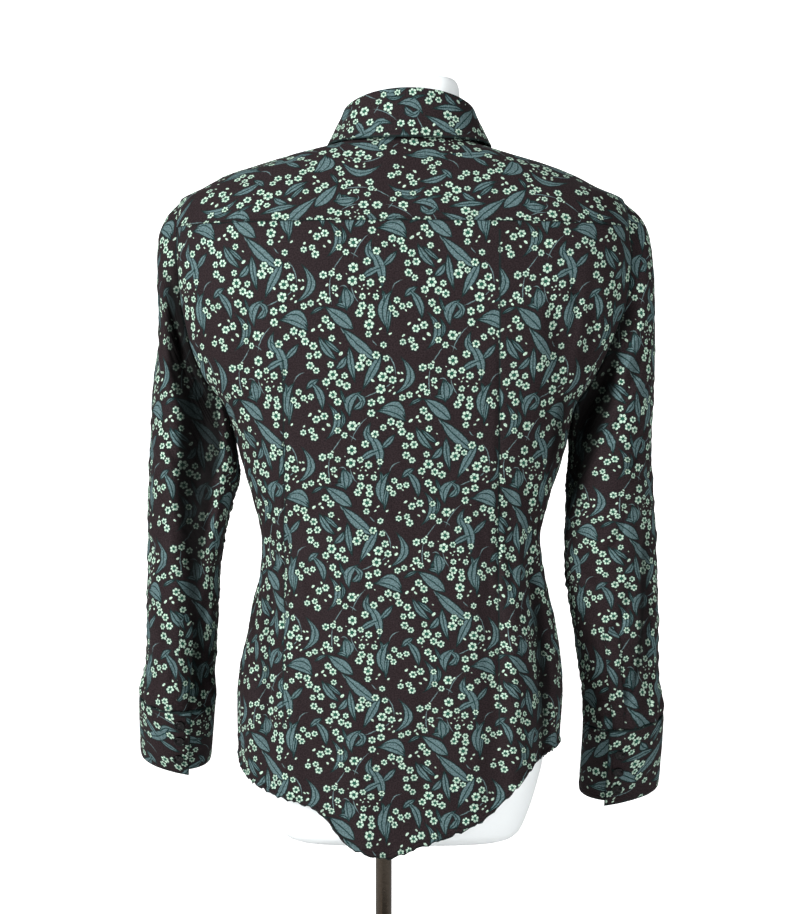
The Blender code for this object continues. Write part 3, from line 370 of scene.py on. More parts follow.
# The dress form, in the same columns as the body.
FORM = Table(
    "height half_width back front rise drop shift",
    (FORM_BOTTOM, 0.108, 0.066, 0.062, 0, 0, 0.003), (0.241, 0.117, 0.075, 0.071, 0, 0, 0.003),
    (0.248, 0.125, 0.083, 0.079, 0, 0, 0.003), (0.27, 0.135, 0.092, 0.088, 0, 0, 0.003),
    (0.29, 0.1415, 0.097, 0.092, 0, 0, 0.003), (0.325, 0.15, 0.103, 0.098, 0, 0, 0.003),
    (0.383, 0.156, 0.105, 0.1, 0, 0, 0.0025), (0.467, 0.144, 0.092, 0.098, 0, 0, 0.001),
    (0.55, 0.13, 0.079, 0.094, 0, 0, 0.0015), (0.61, 0.143, 0.086, 0.103, 0, 0, 0.0015),
    (0.67, 0.16, 0.097, 0.114, 0, 0, 0.002), (0.73, 0.176, 0.105, 0.117, 0, 0, 0.0025),
    (0.79, 0.192, 0.107, 0.111, 0, 0, 0.001), (0.85, 0.206, 0.101, 0.096, 0, 0, 0),
    (0.88, 0.21, 0.091, 0.082, 0.004, 0.006, 0), (0.895, 0.205, 0.082, 0.076, 0.006, 0.014, 0.001),
    (0.912, 0.18, 0.073, 0.071, 0.008, 0.024, 0.001), (0.927, 0.139, 0.065, 0.067, 0.01, 0.034, 0),
    (0.942, 0.09, 0.058, 0.063, 0.012, 0.043, -0.004),
    (0.958, 0.062, 0.054, 0.06, 0.013, 0.047, -0.0065),
    (0.985, 0.0545, 0.051, 0.056, 0.012, 0.04, -0.0065),
    (1.023, 0.0525, 0.049, 0.053, 0.006, 0.018, -0.0065),
    (1.032, 0.049, 0.046, 0.05, 0.003, 0.008, -0.0065), (1.035, 0.039, 0.037, 0.04, 0, 0, -0.0065),
)


def in_metres(table):
    """A table of folds that is written in millimetres."""
    if isinstance(table, dict):
        return {name: in_metres(part) for name, part in table.items()}
    if isinstance(table, tuple):
        return tuple(in_metres(part) for part in table)
    return table / 1000


# Soft folds behind and before. A fold is a row of stations down its line: x, height, half width
# and depth, in millimetres, and a negative depth is a ridge. On a sleeve, x is counted outwards.
BODY_FOLDS = in_metres({
    "back": (
        ((170, 790, 30, 0), (160, 735, 30, 5), (148, 660, 26, 0)),
        ((-160, 800, 24, 0), (-160, 750, 26, 7), (-152, 680, 26, 3), (-140, 620, 20, 0)),
        ((-125, 560, 12, 0), (-138, 480, 16, 12), (-144, 400, 16, 14), (-146, 300, 16, 8)),
        ((-105, 540, 18, 0), (-112, 460, 20, -5), (-116, 380, 20, -6), (-118, 280, 20, -4)),
        ((-85, 580, 18, 0), (-90, 500, 20, 4), (-92, 400, 20, 5), (-92, 290, 20, 3)),
        ((132, 550, 14, 0), (140, 470, 16, 7), (142, 390, 16, 7), (140, 300, 16, 4)),
        ((104, 570, 18, 0), (110, 490, 20, -3), (114, 390, 20, -4), (112, 300, 20, -2)),
        ((60, 430, 28, 0), (50, 330, 28, -4), (36, 240, 24, -6)),
    ),
    "front": (
        ((120, 570, 18, 0), (126, 470, 22, 6), (124, 330, 22, 5)),
        ((-120, 570, 18, 0), (-126, 470, 22, 6), (-122, 330, 22, 5)),
        ((85, 600, 20, 0), (92, 460, 24, -4), (92, 330, 22, -3)),
        ((-85, 600, 20, 0), (-90, 460, 24, -4), (-94, 330, 22, -3)),
    ),
})

SLEEVE_FOLDS = in_metres({
    "left": {
        "back": (
            ((249, 854, 10, 0), (240.7, 813.8, 17, 12), (233.4, 771.8, 23, 22), (223, 724.6, 29, 30),
             (210, 677.3, 31, 33), (210, 645.8, 34, 32), (216.5, 603.8, 30, 26), (217.8, 551.3, 25, 18),
             (217.8, 488.3, 21, 12), (216, 435.8, 20, 13), (217, 380, 18, 8)),
        ),
        "front": (
            ((232, 800, 18, 0), (222, 710, 28, 14), (224, 560, 22, 9), (234, 400, 18, 4)),
        ),
    },
    "right": {
        "back": (
            ((248, 815, 10, 0), (231.3, 784.4, 16, 13), (213.7, 756, 21, 22), (206.4, 727.7, 25, 27),
             (200.2, 703.6, 28, 30), (193, 677.3, 26, 28), (187, 651.1, 25, 22), (178, 619.6, 26, 18),
             (175, 582.8, 22, 9), (178, 530, 18, 0)),
            ((253, 775, 10, 0), (240, 729.8, 12, 7), (225, 690, 10, 0)),
            ((250.5, 600, 10, 0), (253.5, 530, 13, 10), (254.5, 446, 13, 10), (253, 365, 12, 4)),
        ),
        "front": (
            ((232, 800, 18, 0), (222, 710, 28, 14), (220, 560, 22, 9), (232, 390, 18, 4)),
        ),
    },
})


def section(table, angle, key, height, shift):
    """Points of a body or collar section: angle 0 is the wearer's left, 90 is behind."""
    c, s = np.cos(np.radians(angle)), np.sin(np.radians(angle))
    depth = np.where(s >= 0, table.at(key, "back"), table.at(key, "front"))
    lift = np.where(s >= 0, table.at(key, "rise"), -table.at(key, "drop"))
    return np.stack(
        (
            shift + table.at(key, "half_width") * c * (1 + BODY_SQUARENESS * s * s),
            depth * s * (1 + BODY_SQUARENESS * c * c),
            height + lift * s * s,
        ),
        -1,
    )


def bump(distance, half_width):
    """1 on a fold's line, falling smoothly to 0 at its half width."""
    share = np.clip(distance / half_width, 0, 1)
    return 0.5 + 0.5 * np.cos(np.pi * share)


def fold_runs(fold):
    """A fold's line as short straight runs: x, height, half width and depth at their ends."""
    line = Table("index x z half_width depth", *((i, *row) for i, row in enumerate(fold)))
    index = np.arange((len(fold) - 1) * FOLD_PIECES + 1) / FOLD_PIECES
    return np.stack([line.at(index, name) for name in line.names[1:]], -1)


FOLD_RUNS = {}


def fold_depth(x, z, folds):
    """How deep the folds are at places seen from behind or before."""
    depth = np.zeros(x.shape)
    for fold in folds:
        if fold not in FOLD_RUNS:
            FOLD_RUNS[fold] = fold_runs(fold)
        runs = FOLD_RUNS[fold]
        reach = runs[:, 2].max()
        low, high = runs[:, :2].min(0) - reach, runs[:, :2].max(0) + reach
        near = (x > low[0]) & (x < high[0]) & (z > low[1]) & (z < high[1])
        if not near.any():
            continue
        px, pz = x[near], z[near]
        strongest = np.zeros(px.shape)
        for (ax, az, wide_a, most_a), (bx, bz, wide_b, most_b) in zip(runs, runs[1:]):
            dx, dz = bx - ax, bz - az
            share = np.clip(((px - ax) * dx + (pz - az) * dz) / (dx * dx + dz * dz), 0, 1)
            away = np.hypot(px - ax - dx * share, pz - az - dz * share)
            most, wide = most_a + (most_b - most_a) * share, wide_a + (wide_b - wide_a) * share
            effect = most * bump(away, wide)
            strongest = np.where(np.abs(effect) > np.abs(strongest), effect, strongest)
        depth[near] += strongest
    return depth


def folded(point, sine, folds, share=1.0):
    """Points pushed into the cloth's folds; the sine is how far they face back (+) or front (-)."""
    behind = fold_depth(point[..., 0], point[..., 2], folds["back"])
    before = fold_depth(point[..., 0], point[..., 2], folds["front"])
    fade = share * np.minimum(1, np.abs(sine) / FOLD_FADE)
    moved = point.copy()
    moved[..., 1] -= np.where(sine >= 0, behind, -before) * fade
    return moved


def painted_shade_depth(point, sine, *tables):
    """How deep places lie in the cloth's folds, which hold the light off: the mask of the shade painted
    into the cloth's colour.
    """
    depth = 0
    for folds in tables:
        x, z = np.abs(point[..., 0]) if folds in SLEEVE_TABLES else point[..., 0], point[..., 2]
        here = np.where(sine >= 0, fold_depth(x, z, folds["back"]), fold_depth(x, z, folds["front"]))
        depth = np.maximum(depth, here)
    return depth * np.minimum(1, np.abs(sine) / SHADE_FADE)


def body_point(angle, height):
    """The outer face of the shirt's body."""
    angle, height = np.broadcast_arrays(np.asarray(angle, float), np.asarray(height, float))
    point = section(BODY, angle, height, height, BODY.at(height, "shift"))
    return folded(point, np.sin(np.radians(angle)), BODY_FOLDS)


def moved_out(surface, a, b, distance, facing=1):
    """Points of a surface, moved along its normal."""
    across = surface(a + ANGLE_STEP, b) - surface(a - ANGLE_STEP, b)
    up = surface(a, b + LINE_STEP) - surface(a, b - LINE_STEP)
    normal = np.cross(across, up)
    normal /= np.linalg.norm(normal, axis=-1, keepdims=True)
    return surface(a, b) + normal * np.asarray(distance)[..., None] * facing


def armhole(step, side="left"):
    """The armhole's line as angles and heights: step 0 is the shoulder, a quarter is behind."""
    turn = 2 * np.pi * np.asarray(step, float) / ARMHOLE_STEPS
    reach = np.where(np.sin(turn) >= 0, ARMHOLE_BACK_ANGLE, ARMHOLE_FRONT_ANGLE)
    angle = reach * np.sin(turn)
    middle = (ARMHOLE_TOP + ARMHOLE_BOTTOM) / 2
    height = middle + (ARMHOLE_TOP - middle) * np.cos(turn)
    return (angle if side == "left" else 180 - angle), height


def sleeve_surface(side, folds=True):
    """A function of (angle round, length along) that gives the sleeve's outer face."""
    rows = SLEEVES[side]
    mirror = 1 if side == "left" else -1

    def ring(angle, along):
        c, s = np.cos(np.radians(angle)), np.sin(np.radians(angle))
        outer = np.stack((rows.at(along, "outer_x"), 0 * c, rows.at(along, "outer_z")), -1)
        inner = np.stack((rows.at(along, "inner_x"), 0 * c, rows.at(along, "inner_z")), -1)
        depth = np.where(s >= 0, rows.at(along, "back"), rows.at(along, "front")) * s
        tilt = np.radians(rows.at(along, "tilt"))
        point = (outer + inner) / 2 + (outer - inner) / 2 * c[..., None]
        point[..., 1] += rows.at(along, "middle") + np.cos(tilt) * depth
        point[..., 2] -= np.sin(tilt) * depth
        return point

    def at(angle, along):
        angle, along = np.broadcast_arrays(np.asarray(angle, float), np.asarray(along, float))
        point = ring(angle, along)
        seam = body_point(*armhole(angle / 360 * ARMHOLE_STEPS, side))
        seam[..., 0] *= mirror
        join = np.clip(1 - along / SLEEVE_JOIN, 0, 1) ** 2
        point += (seam - ring(angle, 0 * along)) * join[..., None]
        if folds:
            grown = bump(SLEEVE_HEAD - np.clip(along, 0, SLEEVE_HEAD), SLEEVE_HEAD)
            sine = np.sin(np.radians(angle))
            point = folded(point, sine, SLEEVE_FOLDS[side], grown)
            point = folded(point, sine, SLEEVE_CREASES[side], np.clip(along / SLEEVE_HEAD, 0, 1))
        point[..., 0] *= mirror
        return point

    return at


def sleeve_facing(side):
    """1 where a sleeve surface's normal points out of the sleeve, -1 where it points in."""
    return -1 if side == "left" else 1


def cuff_point(side, angle, along, out):
    """Points of the cuff, which winds once round the wrist and laps over its own start."""
    wound = (angle - CUFF_OVERLAP_FROM) / 360
    point = moved_out(sleeve_surface(side), angle, along, out + STIFF_WRAP * wound, sleeve_facing(side))
    past = np.maximum(0, angle - 360 - CUFF_OVERLAP_TO + CUFF_CORNER_ANGLE) / CUFF_CORNER_ANGLE
    point[..., 2] -= CUFF_CORNER_DROP * past**2 * (along - 1) / (CUFF_END - 1)
    return point


def collar_point(angle, along):
    """The outer face of the collar's stand and fall, whose front corners reach down as points."""
    angle, along = np.broadcast_arrays(np.asarray(angle, float) % 360, np.asarray(along, float))
    point = section(COLLAR, angle, along, COLLAR.at(along, "height"), COLLAR_SHIFT)
    from_front = np.abs(angle - 270)
    down = np.maximum(0, along - 2)
    point[..., 2] -= POINT_DROP * down * bump(np.maximum(0, from_front - FALL_END_POINT), POINT_REACH)
    return point


def front_angle(across, height):
    """The angle of places this far to the wearer's left of the middle of the front."""
    return 270 + np.degrees(across / BODY.at(height, "half_width") / (1 + BODY_SQUARENESS))


def shoulder_seam(height):
    """The angle of the seam between the yoke and a front, on the wearer's left."""
    angle, start = armhole(-YOKE_STEP)
    share = (height - start) / (NECK_HEIGHT - start)
    return angle + (FRONT_SEAM_AT_NECK - angle) * share


def grid_of(rows, columns):
    """Two arrays that run from 0 to 1 down the rows and along the columns."""
    return np.meshgrid(np.linspace(0, 1, rows + 1), np.linspace(0, 1, columns + 1), indexing="ij")


def piecewise(share, marks, values):
    """Values between marks that go with each share; a mark's value may be an array of rows."""
    marks = np.asarray(marks, float)
    i = np.clip(np.searchsorted(marks, share, side="right") - 1, 0, len(marks) - 2)
    t = (share - marks[i]) / (marks[i + 1] - marks[i])
    stack = np.stack([np.broadcast_to(value, share.shape) for value in values])
    low = np.take_along_axis(stack, i[None], 0)[0]
    high = np.take_along_axis(stack, i[None] + 1, 0)[0]
    return low + (high - low) * t


def arc_lengths(points, axes=(0, 1, 2)):
    """Lengths along the columns of a grid of points, from its first column."""
    steps = np.diff(points[..., axes], axis=1)
    run = np.cumsum(np.linalg.norm(steps, axis=-1), axis=1)
    return np.concatenate((np.zeros((len(points), 1)), run), axis=1)


def edge_distances(points):
    """How far each place of a grid is from its first and last row and first and last column."""
    across = arc_lengths(points)
    down = arc_lengths(np.swapaxes(points, 0, 1)).T
    return down, down[-1:] - down, across, across[:, -1:] - across


def sew_in(name, mesh, materials, nodes, thickness=0.0):
    """Turns a finished bmesh into a piece of the shirt: in place, smooth, and riding on the part."""
    bmesh.ops.translate(mesh, verts=mesh.verts, vec=(-STAND_OFFSET, 0, 0))
    data = bpy.data.meshes.new(name)
    mesh.to_mesh(data)
    mesh.free()
    data.shade_smooth()
    data.set_sharp_from_angle(angle=math.radians(SHARP_EDGE))
    for finish in materials:
        data.materials.append(finish)
    piece = bpy.data.objects.new(name, data)
    bpy.context.scene.collection.objects.link(piece)
    if thickness:
        shell = piece.modifiers.new("Cloth thickness", "SOLIDIFY")
        shell.thickness = thickness
        shell.offset = -1  # inwards
        shell.material_offset = 1
    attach(piece, "root")
    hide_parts(*nodes)
    return piece


def cloth_from(points, flat, seam, closed=False, inside=None, depth=None):
    """A grid of cloth as a bmesh; its flat cut, its distance to the stitching and its painted fold shade
    are UV maps.

    The flat map may give two values a column, for the faces before and after a dart."""
    rows, columns = len(points) - 1, len(points[0]) - 1
    mesh = bmesh.new()
    bmesh.ops.create_grid(mesh, x_segments=columns, y_segments=rows, size=1)
    mesh.verts.ensure_lookup_table()
    places = {}
    for vert in mesh.verts:
        c = round((vert.co.x + 1) / 2 * columns)
        r = round((vert.co.y + 1) / 2 * rows)
        places[vert.index] = (r, c)
    cut_map, seam_map, fold_shade_map = (mesh.loops.layers.uv.new(layer) for layer in CLOTH_MAPS)
    depth = np.zeros(points.shape[:2]) if depth is None else depth
    before, after = flat if isinstance(flat, tuple) else (flat, flat)
    for face in mesh.faces:
        first = min(places[vert.index][1] for vert in face.verts)
        for loop in face.loops:
            r, c = places[loop.vert.index]
            loop[cut_map].uv = after[r, c] if c == first else before[r, c]
            loop[seam_map].uv = seam[r, c]
            # The third map holds the depth of the shade painted into the cloth's colour.
            loop[fold_shade_map].uv = depth[r, c], 0
    for vert in mesh.verts:
        vert.co = points[places[vert.index]]
    if closed:
        bmesh.ops.remove_doubles(mesh, verts=mesh.verts, dist=SAME_POINT)
    mesh.faces.ensure_lookup_table()
    mesh.normal_update()
    middle = mesh.faces[len(mesh.faces) // 2 + columns // 2]
    centre = middle.calc_center_median()
    core = Vector((0, 0, centre.z)) if inside is None else Vector(inside[rows // 2])
    if middle.normal.dot(centre - core) < 0:
        bmesh.ops.reverse_faces(mesh, faces=mesh.faces)
    return mesh


def crumple(u, v, size, seed):
    """Soft uneven wrinkles between about -1 and 1, for places in metres."""
    total = np.zeros(u.shape)
    for turn, stretch, weight in ((0.35, 1.0, 0.45), (1.9, 1.63, 0.3), (2.75, 2.7, 0.25)):
        angle = turn + seed
        along = (u * math.cos(angle) + v * math.sin(angle)) * stretch / size
        side = (v * math.cos(angle) - u * math.sin(angle)) * stretch / size
        bend = 0.9 * np.sin(side * 2.3 + seed * 5) + 0.5 * np.sin(side * 5.1 + seed)
        total += weight * (1 - 2 * np.abs(np.sin(along * np.pi + bend))) * np.sin(side * 1.7 + seed * 3)
    return total


def dart_angle(x, height):
    """The angle at which a section of the body has this sideways place."""
    half_width, shift = BODY.at(height, "half_width"), BODY.at(height, "shift")
    c = (x - shift) / half_width
    for _ in range(3):
        c = np.clip((x - shift) / half_width / (1 + BODY_SQUARENESS * (1 - c * c)), -1, 1)
    return np.degrees(np.arccos(c))


def hem_line(angle):
    """The hem's height, slightly uneven as a rolled hem is."""
    turn = np.radians(angle)
    ripple = np.sin(turn * 61) + 0.8 * np.sin(turn * 97 + 1) + 0.6 * np.sin(turn * 143 + 2)
    return HEM.at(angle, "height") + HEM_RIPPLE * ripple


def body_grid():
    """Angles and heights of the back, whose columns follow its two darts."""
    down, across = grid_of(*BACK_GRID)
    above = np.clip(down / UNDERARM_AT, 0, 1)
    below = np.clip((down - UNDERARM_AT) / (1 - UNDERARM_AT), 0, 1)
    edge, top = armhole(YOKE_STEP + (2 * ARMHOLE_QUARTERS - YOKE_STEP) * above)
    height = top
    for _ in range(3):
        lines = (edge, dart_angle(DART_LEFT, height), dart_angle(DART_RIGHT, height), 180 - edge)
        angle = piecewise(across, DART_MARKS, lines)
        low = ARMHOLE_BOTTOM + (hem_line(angle) - ARMHOLE_BOTTOM) * below
        dip = YOKE_SEAM_DIP * np.sin(np.radians(angle)) ** 2 * (1 - above)
        height = np.where(below > 0, low, top - dip)
    return angle, height


def front_grid(side):
    """Angles and heights of one front, from the middle to the side."""
    down, across = grid_of(*FRONT_GRID)
    shoulder = np.clip(down / SHOULDER_AT, 0, 1)
    above = np.clip((down - SHOULDER_AT) / (FRONT_UNDERARM_AT - SHOULDER_AT), 0, 1)
    below = np.clip((down - FRONT_UNDERARM_AT) / (1 - FRONT_UNDERARM_AT), 0, 1)
    seam = NECK_HEIGHT + (armhole(-YOKE_STEP)[1] - NECK_HEIGHT) * shoulder
    edge, hole = armhole(-YOKE_STEP - (2 * ARMHOLE_QUARTERS - YOKE_STEP) * above)
    edge = np.where(above > 0, edge, shoulder_seam(seam))
    top = np.where(above > 0, hole, seam)
    far = 360 + edge if side == "left" else 180 - edge
    height = top
    for _ in range(3):
        middle = front_angle(-BAND_EDGE, height)
        angle = middle + (far - middle) * across
        height = np.where(below > 0, ARMHOLE_BOTTOM + (hem_line(angle) - ARMHOLE_BOTTOM) * below, top)
    return angle, height


def yoke_grid():
    """Angles and heights of the yoke, from its outer edge (first row) in to the neck."""
    inward, across = grid_of(*YOKE_GRID)
    far = 1 - YOKE_SIDE_AT
    left = armhole(YOKE_STEP * (2 * np.clip(across / YOKE_SIDE_AT, 0, 1) - 1))
    right = armhole(YOKE_STEP * (2 * np.clip((1 - across) / YOKE_SIDE_AT, 0, 1) - 1), "right")
    edge, top = armhole(YOKE_STEP)
    seam = edge + (180 - 2 * edge) * (across - YOKE_SIDE_AT) / (far - YOKE_SIDE_AT)
    angle = np.where(across < YOKE_SIDE_AT, left[0], np.where(across > far, right[0], seam))
    dip = top - YOKE_SEAM_DIP * np.sin(np.radians(seam)) ** 2
    height = np.where(across < YOKE_SIDE_AT, left[1], np.where(across > far, right[1], dip))
    turns = (FRONT_SEAM_AT_NECK, BACK_SEAM_AT_NECK, 180 - BACK_SEAM_AT_NECK, 180 - FRONT_SEAM_AT_NECK)
    neck = piecewise(across, (0, YOKE_SIDE_AT, far, 1), turns)
    return angle + (neck - angle) * inward, height + (NECK_HEIGHT - height) * inward


def normals_of(points):
    """Unit normals of a grid of points."""
    normal = np.cross(np.gradient(points, axis=1), np.gradient(points, axis=0))
    return normal / np.maximum(np.linalg.norm(normal, axis=-1, keepdims=True), SAME_POINT)


def outward(points, core=None):
    """Unit normals of a grid of points, facing away from the body or from their own rows' middles."""
    normal = normals_of(points)
    core = points * (0, 0, 1) if core is None else core
    return normal * np.sign(np.sum(normal * (points - core), -1).mean())


def rolled(points, normal, from_edge, along):
    """Points with a narrow rolled hem standing out along an edge, slightly puckered."""
    pucker = 1 + 0.35 * np.sin(along * 640) + 0.25 * np.sin(along * 1010 + 1)
    roll = sizes().hem_roll * bump(np.abs(from_edge - HEM_WIDTH / 2), HEM_WIDTH / 2) * pucker
    draw = HEM_DRAW * np.sin(along * 520 + 2) * np.exp(-from_edge / HEM_DRAW_OVER)
    return points + normal * (roll + draw)[..., None]


def flat_cut(points, centre=None):
    """A flat cut of a body panel: across its rows from the centre column, and up its height."""
    across = arc_lengths(points, (0, 1))
    centre = points.shape[1] // 2 if centre is None else centre
    across = across - across[:, centre : centre + 1]
    middle = points[:, centre]
    climb = np.concatenate(([0], np.cumsum(np.linalg.norm(np.diff(middle, axis=0), axis=-1))))
    order = np.argsort(middle[:, 2])
    up = np.interp(points[..., 2], middle[order, 2], -climb[order])
    above = np.maximum(0, points[..., 2] - middle[order[-1], 2])
    return across, up + above * SHOULDER_CLIMB


def stacked(across, up):
    """Two grids of values as one grid of pairs."""
    return np.stack((across, up), -1)


PRINT_AT = {  # where the print starts on each piece, in metres
    "back": (-0.002, 0), "front_left": (0.031, 0.052), "front_right": (-0.044, 0.087),
    "yoke": (0.0063, 0.1125), "collar_stand": (0.01, 0.02), "collar_fall": (0.1295, 0.0402),
    "sleeve_left": (0.0612, 0.102), "sleeve_right": (0.109, -0.0402), "placket": (0.03, 0.01),
    "cuff_left": (0.05, 0.02), "cuff_right": (0.02, 0.07), "band": (0.02, 0.06),
}

# The back hangs fuller low down: its print sits closer together there, across and down.
PRINT_LIFT = Table(
    "height lift",
    (0.28, 0), (0.36, 0.011), (0.4, 0.0175), (0.44, 0.0235), (0.48, 0.028), (0.53, 0.0318),
    (0.57, 0.035), (0.61, 0.0385), (0.65, 0.0405), (0.69, 0.0416), (0.77, 0.0433), (0.81, 0.043),
)
DART_TAKE = Table(  # how much cloth each dart takes up on its outer side
    "height left right",
    (0.36, 0, 0), (0.4, 0.0005, 0.001), (0.45, 0.005, 0.0045), (0.5, 0.009, 0.0088),
    (0.55, 0.011, 0.01), (0.6, 0.0095, 0.013), (0.65, 0.005, 0.0165), (0.7, 0.0015, 0.0162),
    (0.74, 0, 0.0125), (0.78, 0, 0.007), (0.82, 0, 0.0035), (0.87, 0, 0),
)
WAIST_EASE = ((0.56, 0.66), (1.045, 1.0))  # heights, and how full the cloth hangs there

SLEEVE_EASE = {  # heights, and where they lie on the flat sleeve, which hangs fuller low down
    "left": ((0.2, 1.0), (0.2, 1.0)),
    "right": ((0.190, 0.490, 0.645, 1.0), (0.1625, 0.4625, 0.645, 1.0)),
}

# The deepest shade, painted into the cloth's colour where a sleeve and the body hold the light off each
# other; these tables move no cloth.
PAINTED_DEEP_SHADE = in_metres({
    "body": {
        "back": (
            ((-165, 715, 10, 0), (-163, 690, 14, 10), (-158, 655, 14, 12), (-150, 620, 10, 8),
             (-145, 580, 6, 0)),
        ),
        "front": (),
    },
    "left": {
        "back": (
            ((240, 850, 8, 0), (238.1, 836, 11, 8), (233, 798, 12, 12), (226.9, 752.5, 15, 14),
             (220, 716.8, 19, 15), (210, 696.5, 27, 17), (210, 666, 33, 20), (209.6, 645.6, 33, 20),
             (214.7, 615, 27, 16), (213.7, 574, 23, 11), (213, 493, 22, 9), (210.6, 442, 21, 10),
             (208.6, 391, 19, 9)),
        ),
        "front": (),
    },
    "right": {
        "back": (
            ((240, 806, 8, 0), (218.6, 762.6, 15, 13), (206.4, 737.2, 16, 15), (199, 716.8, 18, 16),
             (186, 700, 24, 18), (184, 676, 26, 18), (174, 645.6, 26, 18), (177, 615, 20, 13),
             (178, 560, 14, 6), (178, 500, 10, 0)),
            ((254, 595, 5, 0), (251, 540, 7, 10), (249, 452.4, 7, 14), (242, 401.5, 6, 12),
             (237, 380, 5, 4)),
            ((233, 408, 5, 0), (232.5, 392, 6, 13), (233, 374, 5, 6)),
        ),
        "front": (),
    },
})

# Main creases that the solids leave to the cloth, in the columns of the folds.
BACK_CREASES = in_metres({
    "back": (
        ((164, 810, 8, 0), (162, 770, 10, 4.5), (159, 715, 9, 0)),
        ((180, 830, 7, 0), (178, 785, 8, 3), (173, 740, 7, 0)),
        ((-150, 810, 8, 0), (-154, 770, 10, 5), (-153, 700, 9, 0)),
        ((-170, 835, 8, 0), (-176, 795, 10, 5.5), (-174, 750, 8, 0)),
        ((-196, 830, 9, 0), (-190, 760, 12, 7), (-178, 700, 12, 3)),
        ((-97.7, 790, 5, 0), (-97.7, 660, 5, 4.2), (-97.7, 400, 5, 2.5)),
        ((122, 730, 5, 0), (122, 620, 5, 3.8), (122, 400, 5, 2.5)),
        ((-108, 630, 9, 0), (-111, 550, 11, 5), (-109, 470, 9, 0)),
        ((-124, 640, 8, 0), (-130, 560, 9, 6), (-134, 490, 8, 0)),
        ((-118, 460, 7, 0), (-124, 390, 9, 5), (-125, 320, 8, 0)),
        ((133, 630, 8, 0), (136, 550, 10, 5), (133, 490, 8, 0)),
        ((118, 570, 7, 0), (123, 500, 9, 3), (126, 430, 8, 0)),
        ((150, 510, 7, 0), (154, 450, 9, 5), (153, 370, 8, 0)),
        ((188, 690, 10, 0), (160, 650, 12, 4), (130, 625, 10, 0)),
        ((-170, 700, 10, 0), (-145, 660, 12, 4), (-120, 635, 10, 0)),
        ((90, 560, 12, 0), (30, 548, 13, 1.6), (-40, 553, 12, 0)),
        ((-30, 430, 16, 0), (-22, 350, 18, 3), (-15, 270, 16, 2)),
        ((60, 440, 16, 0), (70, 370, 18, 2.5), (75, 310, 16, 0)),
    ),
    "front": (
        ((118, 770, 12, 0), (128, 720, 15, 4), (150, 680, 13, 0)),
        ((-118, 760, 12, 0), (-130, 710, 15, 4), (-150, 670, 13, 0)),
        ((105, 620, 12, 0), (110, 550, 14, 4.5), (106, 450, 12, 0)),
        ((-100, 630, 12, 0), (-108, 550, 14, 4.5), (-105, 460, 12, 0)),
        ((60, 460, 14, 0), (68, 370, 16, 3), (70, 290, 14, 0)),
        ((-64, 470, 14, 0), (-66, 380, 16, 3), (-72, 290, 14, 0)),
        ((150, 850, 12, 0), (156, 800, 14, 4), (162, 740, 12, 0)),
        ((-150, 850, 12, 0), (-158, 800, 14, 4), (-164, 740, 12, 0)),
    ),
})
SLEEVE_CREASES = in_metres({
    "left": {
        "back": (
            ((244, 830, 6, 0), (233, 770, 8, 6), (225, 710, 8, 0)),
            ((252, 710, 6, 0), (244, 660, 8, 5), (228, 620, 7, 0)),
            ((256, 635, 6, 0), (248, 590, 8, 5.5), (232, 555, 7, 0)),
            ((190, 620, 6, 0), (201, 575, 8, 5), (208, 530, 7, 0)),
            ((260, 550, 6, 0), (248, 520, 7, 4.5), (233, 505, 6, 0)),
            ((262, 490, 6, 0), (250, 450, 8, 5), (244, 410, 7, 0)),
            ((200, 510, 6, 0), (208, 470, 7, 4), (210, 430, 6, 0)),
            ((236, 440, 5, 0), (240, 415, 6, 3.5), (245, 390, 5, 1)),
            ((256, 428, 5, 0), (258, 408, 6, 3.5), (260, 388, 5, 1)),
        ),
        "front": (
            ((246, 800, 8, 0), (240, 730, 10, 6), (225, 670, 9, 0)),
            ((252, 670, 8, 0), (242, 620, 10, 6), (220, 580, 8, 0)),
            ((256, 580, 8, 0), (248, 530, 9, 5), (230, 490, 8, 0)),
            ((260, 480, 6, 0), (254, 440, 8, 5), (248, 400, 7, 0)),
        ),
    },
    "right": {
        "back": (
            ((245, 810, 6, 0), (233, 765, 8, 6), (220, 715, 8, 0)),
            ((230, 700, 6, 0), (218, 665, 8, 5), (202, 635, 7, 0)),
            ((252, 670, 6, 0), (238, 635, 8, 5.5), (220, 615, 7, 0)),
            ((180, 600, 6, 0), (195, 570, 8, 5), (212, 555, 7, 0)),
            ((235, 595, 6, 0), (222, 555, 7, 5), (205, 535, 6, 0)),
            ((180, 540, 6, 0), (193, 510, 7, 4.5), (208, 495, 6, 0)),
            ((240, 520, 6, 0), (230, 480, 8, 5), (218, 450, 7, 0)),
            ((188, 470, 6, 0), (196, 440, 7, 4), (206, 420, 6, 0)),
            ((245, 450, 5, 0), (240, 420, 7, 5), (238, 380, 6, 2)),
            ((262, 430, 5, 0), (260, 400, 6, 4.5), (258, 372, 5, 2)),
            ((226, 425, 5, 0), (224, 400, 6, 3), (223, 375, 5, 1)),
        ),
        "front": (
            ((248, 790, 8, 0), (240, 720, 10, 6), (220, 660, 9, 0)),
            ((252, 660, 8, 0), (240, 610, 10, 6), (215, 570, 8, 0)),
            ((256, 570, 8, 0), (245, 520, 9, 5), (225, 480, 8, 0)),
            ((260, 470, 6, 0), (252, 430, 8, 5), (245, 390, 7, 0)),
        ),
    },
})

# In these, x is counted outwards.
SLEEVE_TABLES = (
    *SLEEVE_FOLDS.values(), *SLEEVE_CREASES.values(), PAINTED_DEEP_SHADE["left"], PAINTED_DEEP_SHADE["right"],
)


def calm(distance):
    """0 at a seam, growing smoothly to 1 away from it."""
    return 1 - bump(distance, CALM_EDGE)


